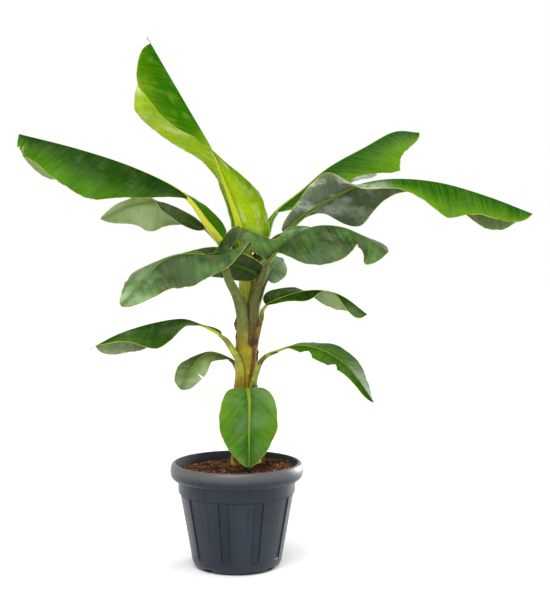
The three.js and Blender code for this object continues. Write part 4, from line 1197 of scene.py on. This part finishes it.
def scrap_piece(points, width, rng):
    """A dried strip along a line of points, with ragged edges, curled and pointed."""
    points = np.array(points, float)
    ts = np.linspace(0, 1, SCRAP_ROWS)
    marks = np.linspace(0, 1, len(points))
    line = np.stack([np.interp(ts, marks, points[:, k]) for k in range(3)], -1)
    reach = width / 2 * np.sin(np.pi * np.clip(ts, 0.02, 0.98)) ** 0.6 * (1 + 0.5 * wander(rng, 1, 0.07, ts))
    across = np.linspace(-1, 1, SCRAP_COLUMNS)
    grid = np.repeat(line[:, None], SCRAP_COLUMNS, axis=1)
    grid[..., 0] += reach[:, None] * across
    grid[..., 1] += reach[:, None] * 0.7 * across**2 + 0.5 * wander(rng, 1, 0.15, ts)[:, None]
    half_thick = np.array([0, SCRAP_THICKNESS / 2, 0])
    return shell(grid - half_thick, grid + half_thick)[:2]


def build_scraps():
    rng = np.random.default_rng(SEED + 3)
    dried = earth_material("dried", (0.05, 0.028, 0.014), (0.26, 0.16, 0.08))
    for number, (node_name, line, width) in enumerate(SCRAPS):
        points, faces = scrap_piece(line, width, rng)
        piece = add_mesh(f"scrap_{number}", points, faces, [dried])
        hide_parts(node_name)


# Stage

def light(name, kind, power, aim, **settings):
    """New lamp that shines along a direction."""
    made = bpy.data.lights.new(name, kind)
    made.energy = power
    for key, value in settings.items():
        setattr(made, key, value)
    lamp = put(name, made)
    lamp.rotation_euler = Vector(aim).to_track_quat("-Z", "Y").to_euler()
    return lamp


def set_stage():
    """Pale floor, white surroundings, soft lamps and the camera."""
    scene = bpy.context.scene
    mesh = bpy.data.meshes.new("floor")
    mesh.from_pydata([(-9, -6, 0), (9, -6, 0), (9, 12, 0), (-9, 12, 0)], [], [(0, 1, 2, 3)])
    mesh.materials.append(start_material("floor", 0.9, Base_Color=(0.95, 0.95, 0.95, 1))[0])
    floor = put("floor", mesh)
    world = bpy.data.worlds.new("surroundings")
    world.use_nodes = True
    tree = world.node_tree
    parts = node(tree, "SeparateXYZ", {0: Wire(node(tree, "TexCoord"), "Generated")})
    glow = blend(Wire(parts, 2).step(0.15, 0.9), (1, 1, 1), (0.4, 0.4, 0.4))
    glow = blend(Wire(parts, 1).step(0.1, -0.9), glow, (0.5, 0.5, 0.5), "MULTIPLY")
    tree.links.new(glow.socket, tree.nodes["Background"].inputs[0])
    scene.world = world
    light("sun", "SUN", 2.6, (0.2, 1.2, -2.6), angle=radians(50))
    for name, power, size, place, aim in (
        ("key", 22, 2.0, (-0.9, -2.4, 2.7), (0, 0, 0.4)),
        ("side", 55, 1.2, (1.75, 1.6, 0.7), (0, 0, 0.3)),
    ):
        lamp = light(name, "AREA", power, Vector(aim) - Vector(place), shape="SQUARE", size=size)
        lamp.location = place
    scene.view_settings.view_transform = "Standard"
    camera = bpy.data.cameras.new("camera")
    camera.lens = CAMERA_LENS
    camera.sensor_width = SENSOR
    holder = put("camera", camera)
    holder.location = CAMERA_PLACE
    holder.rotation_euler = (radians(90 - CAMERA_TILT), 0, 0)
    scene.camera = holder


rib_material = rib_face()
face_materials = {
    slot: [leaf_material(slot + "_" + side, *values) for side, values in sides.items()]
    for slot, sides in FACES.items()
}
for leaf in LEAVES:
    build_leaf(leaf)
build_stem()
build_pot()
build_soil()
build_scraps()
set_stage()
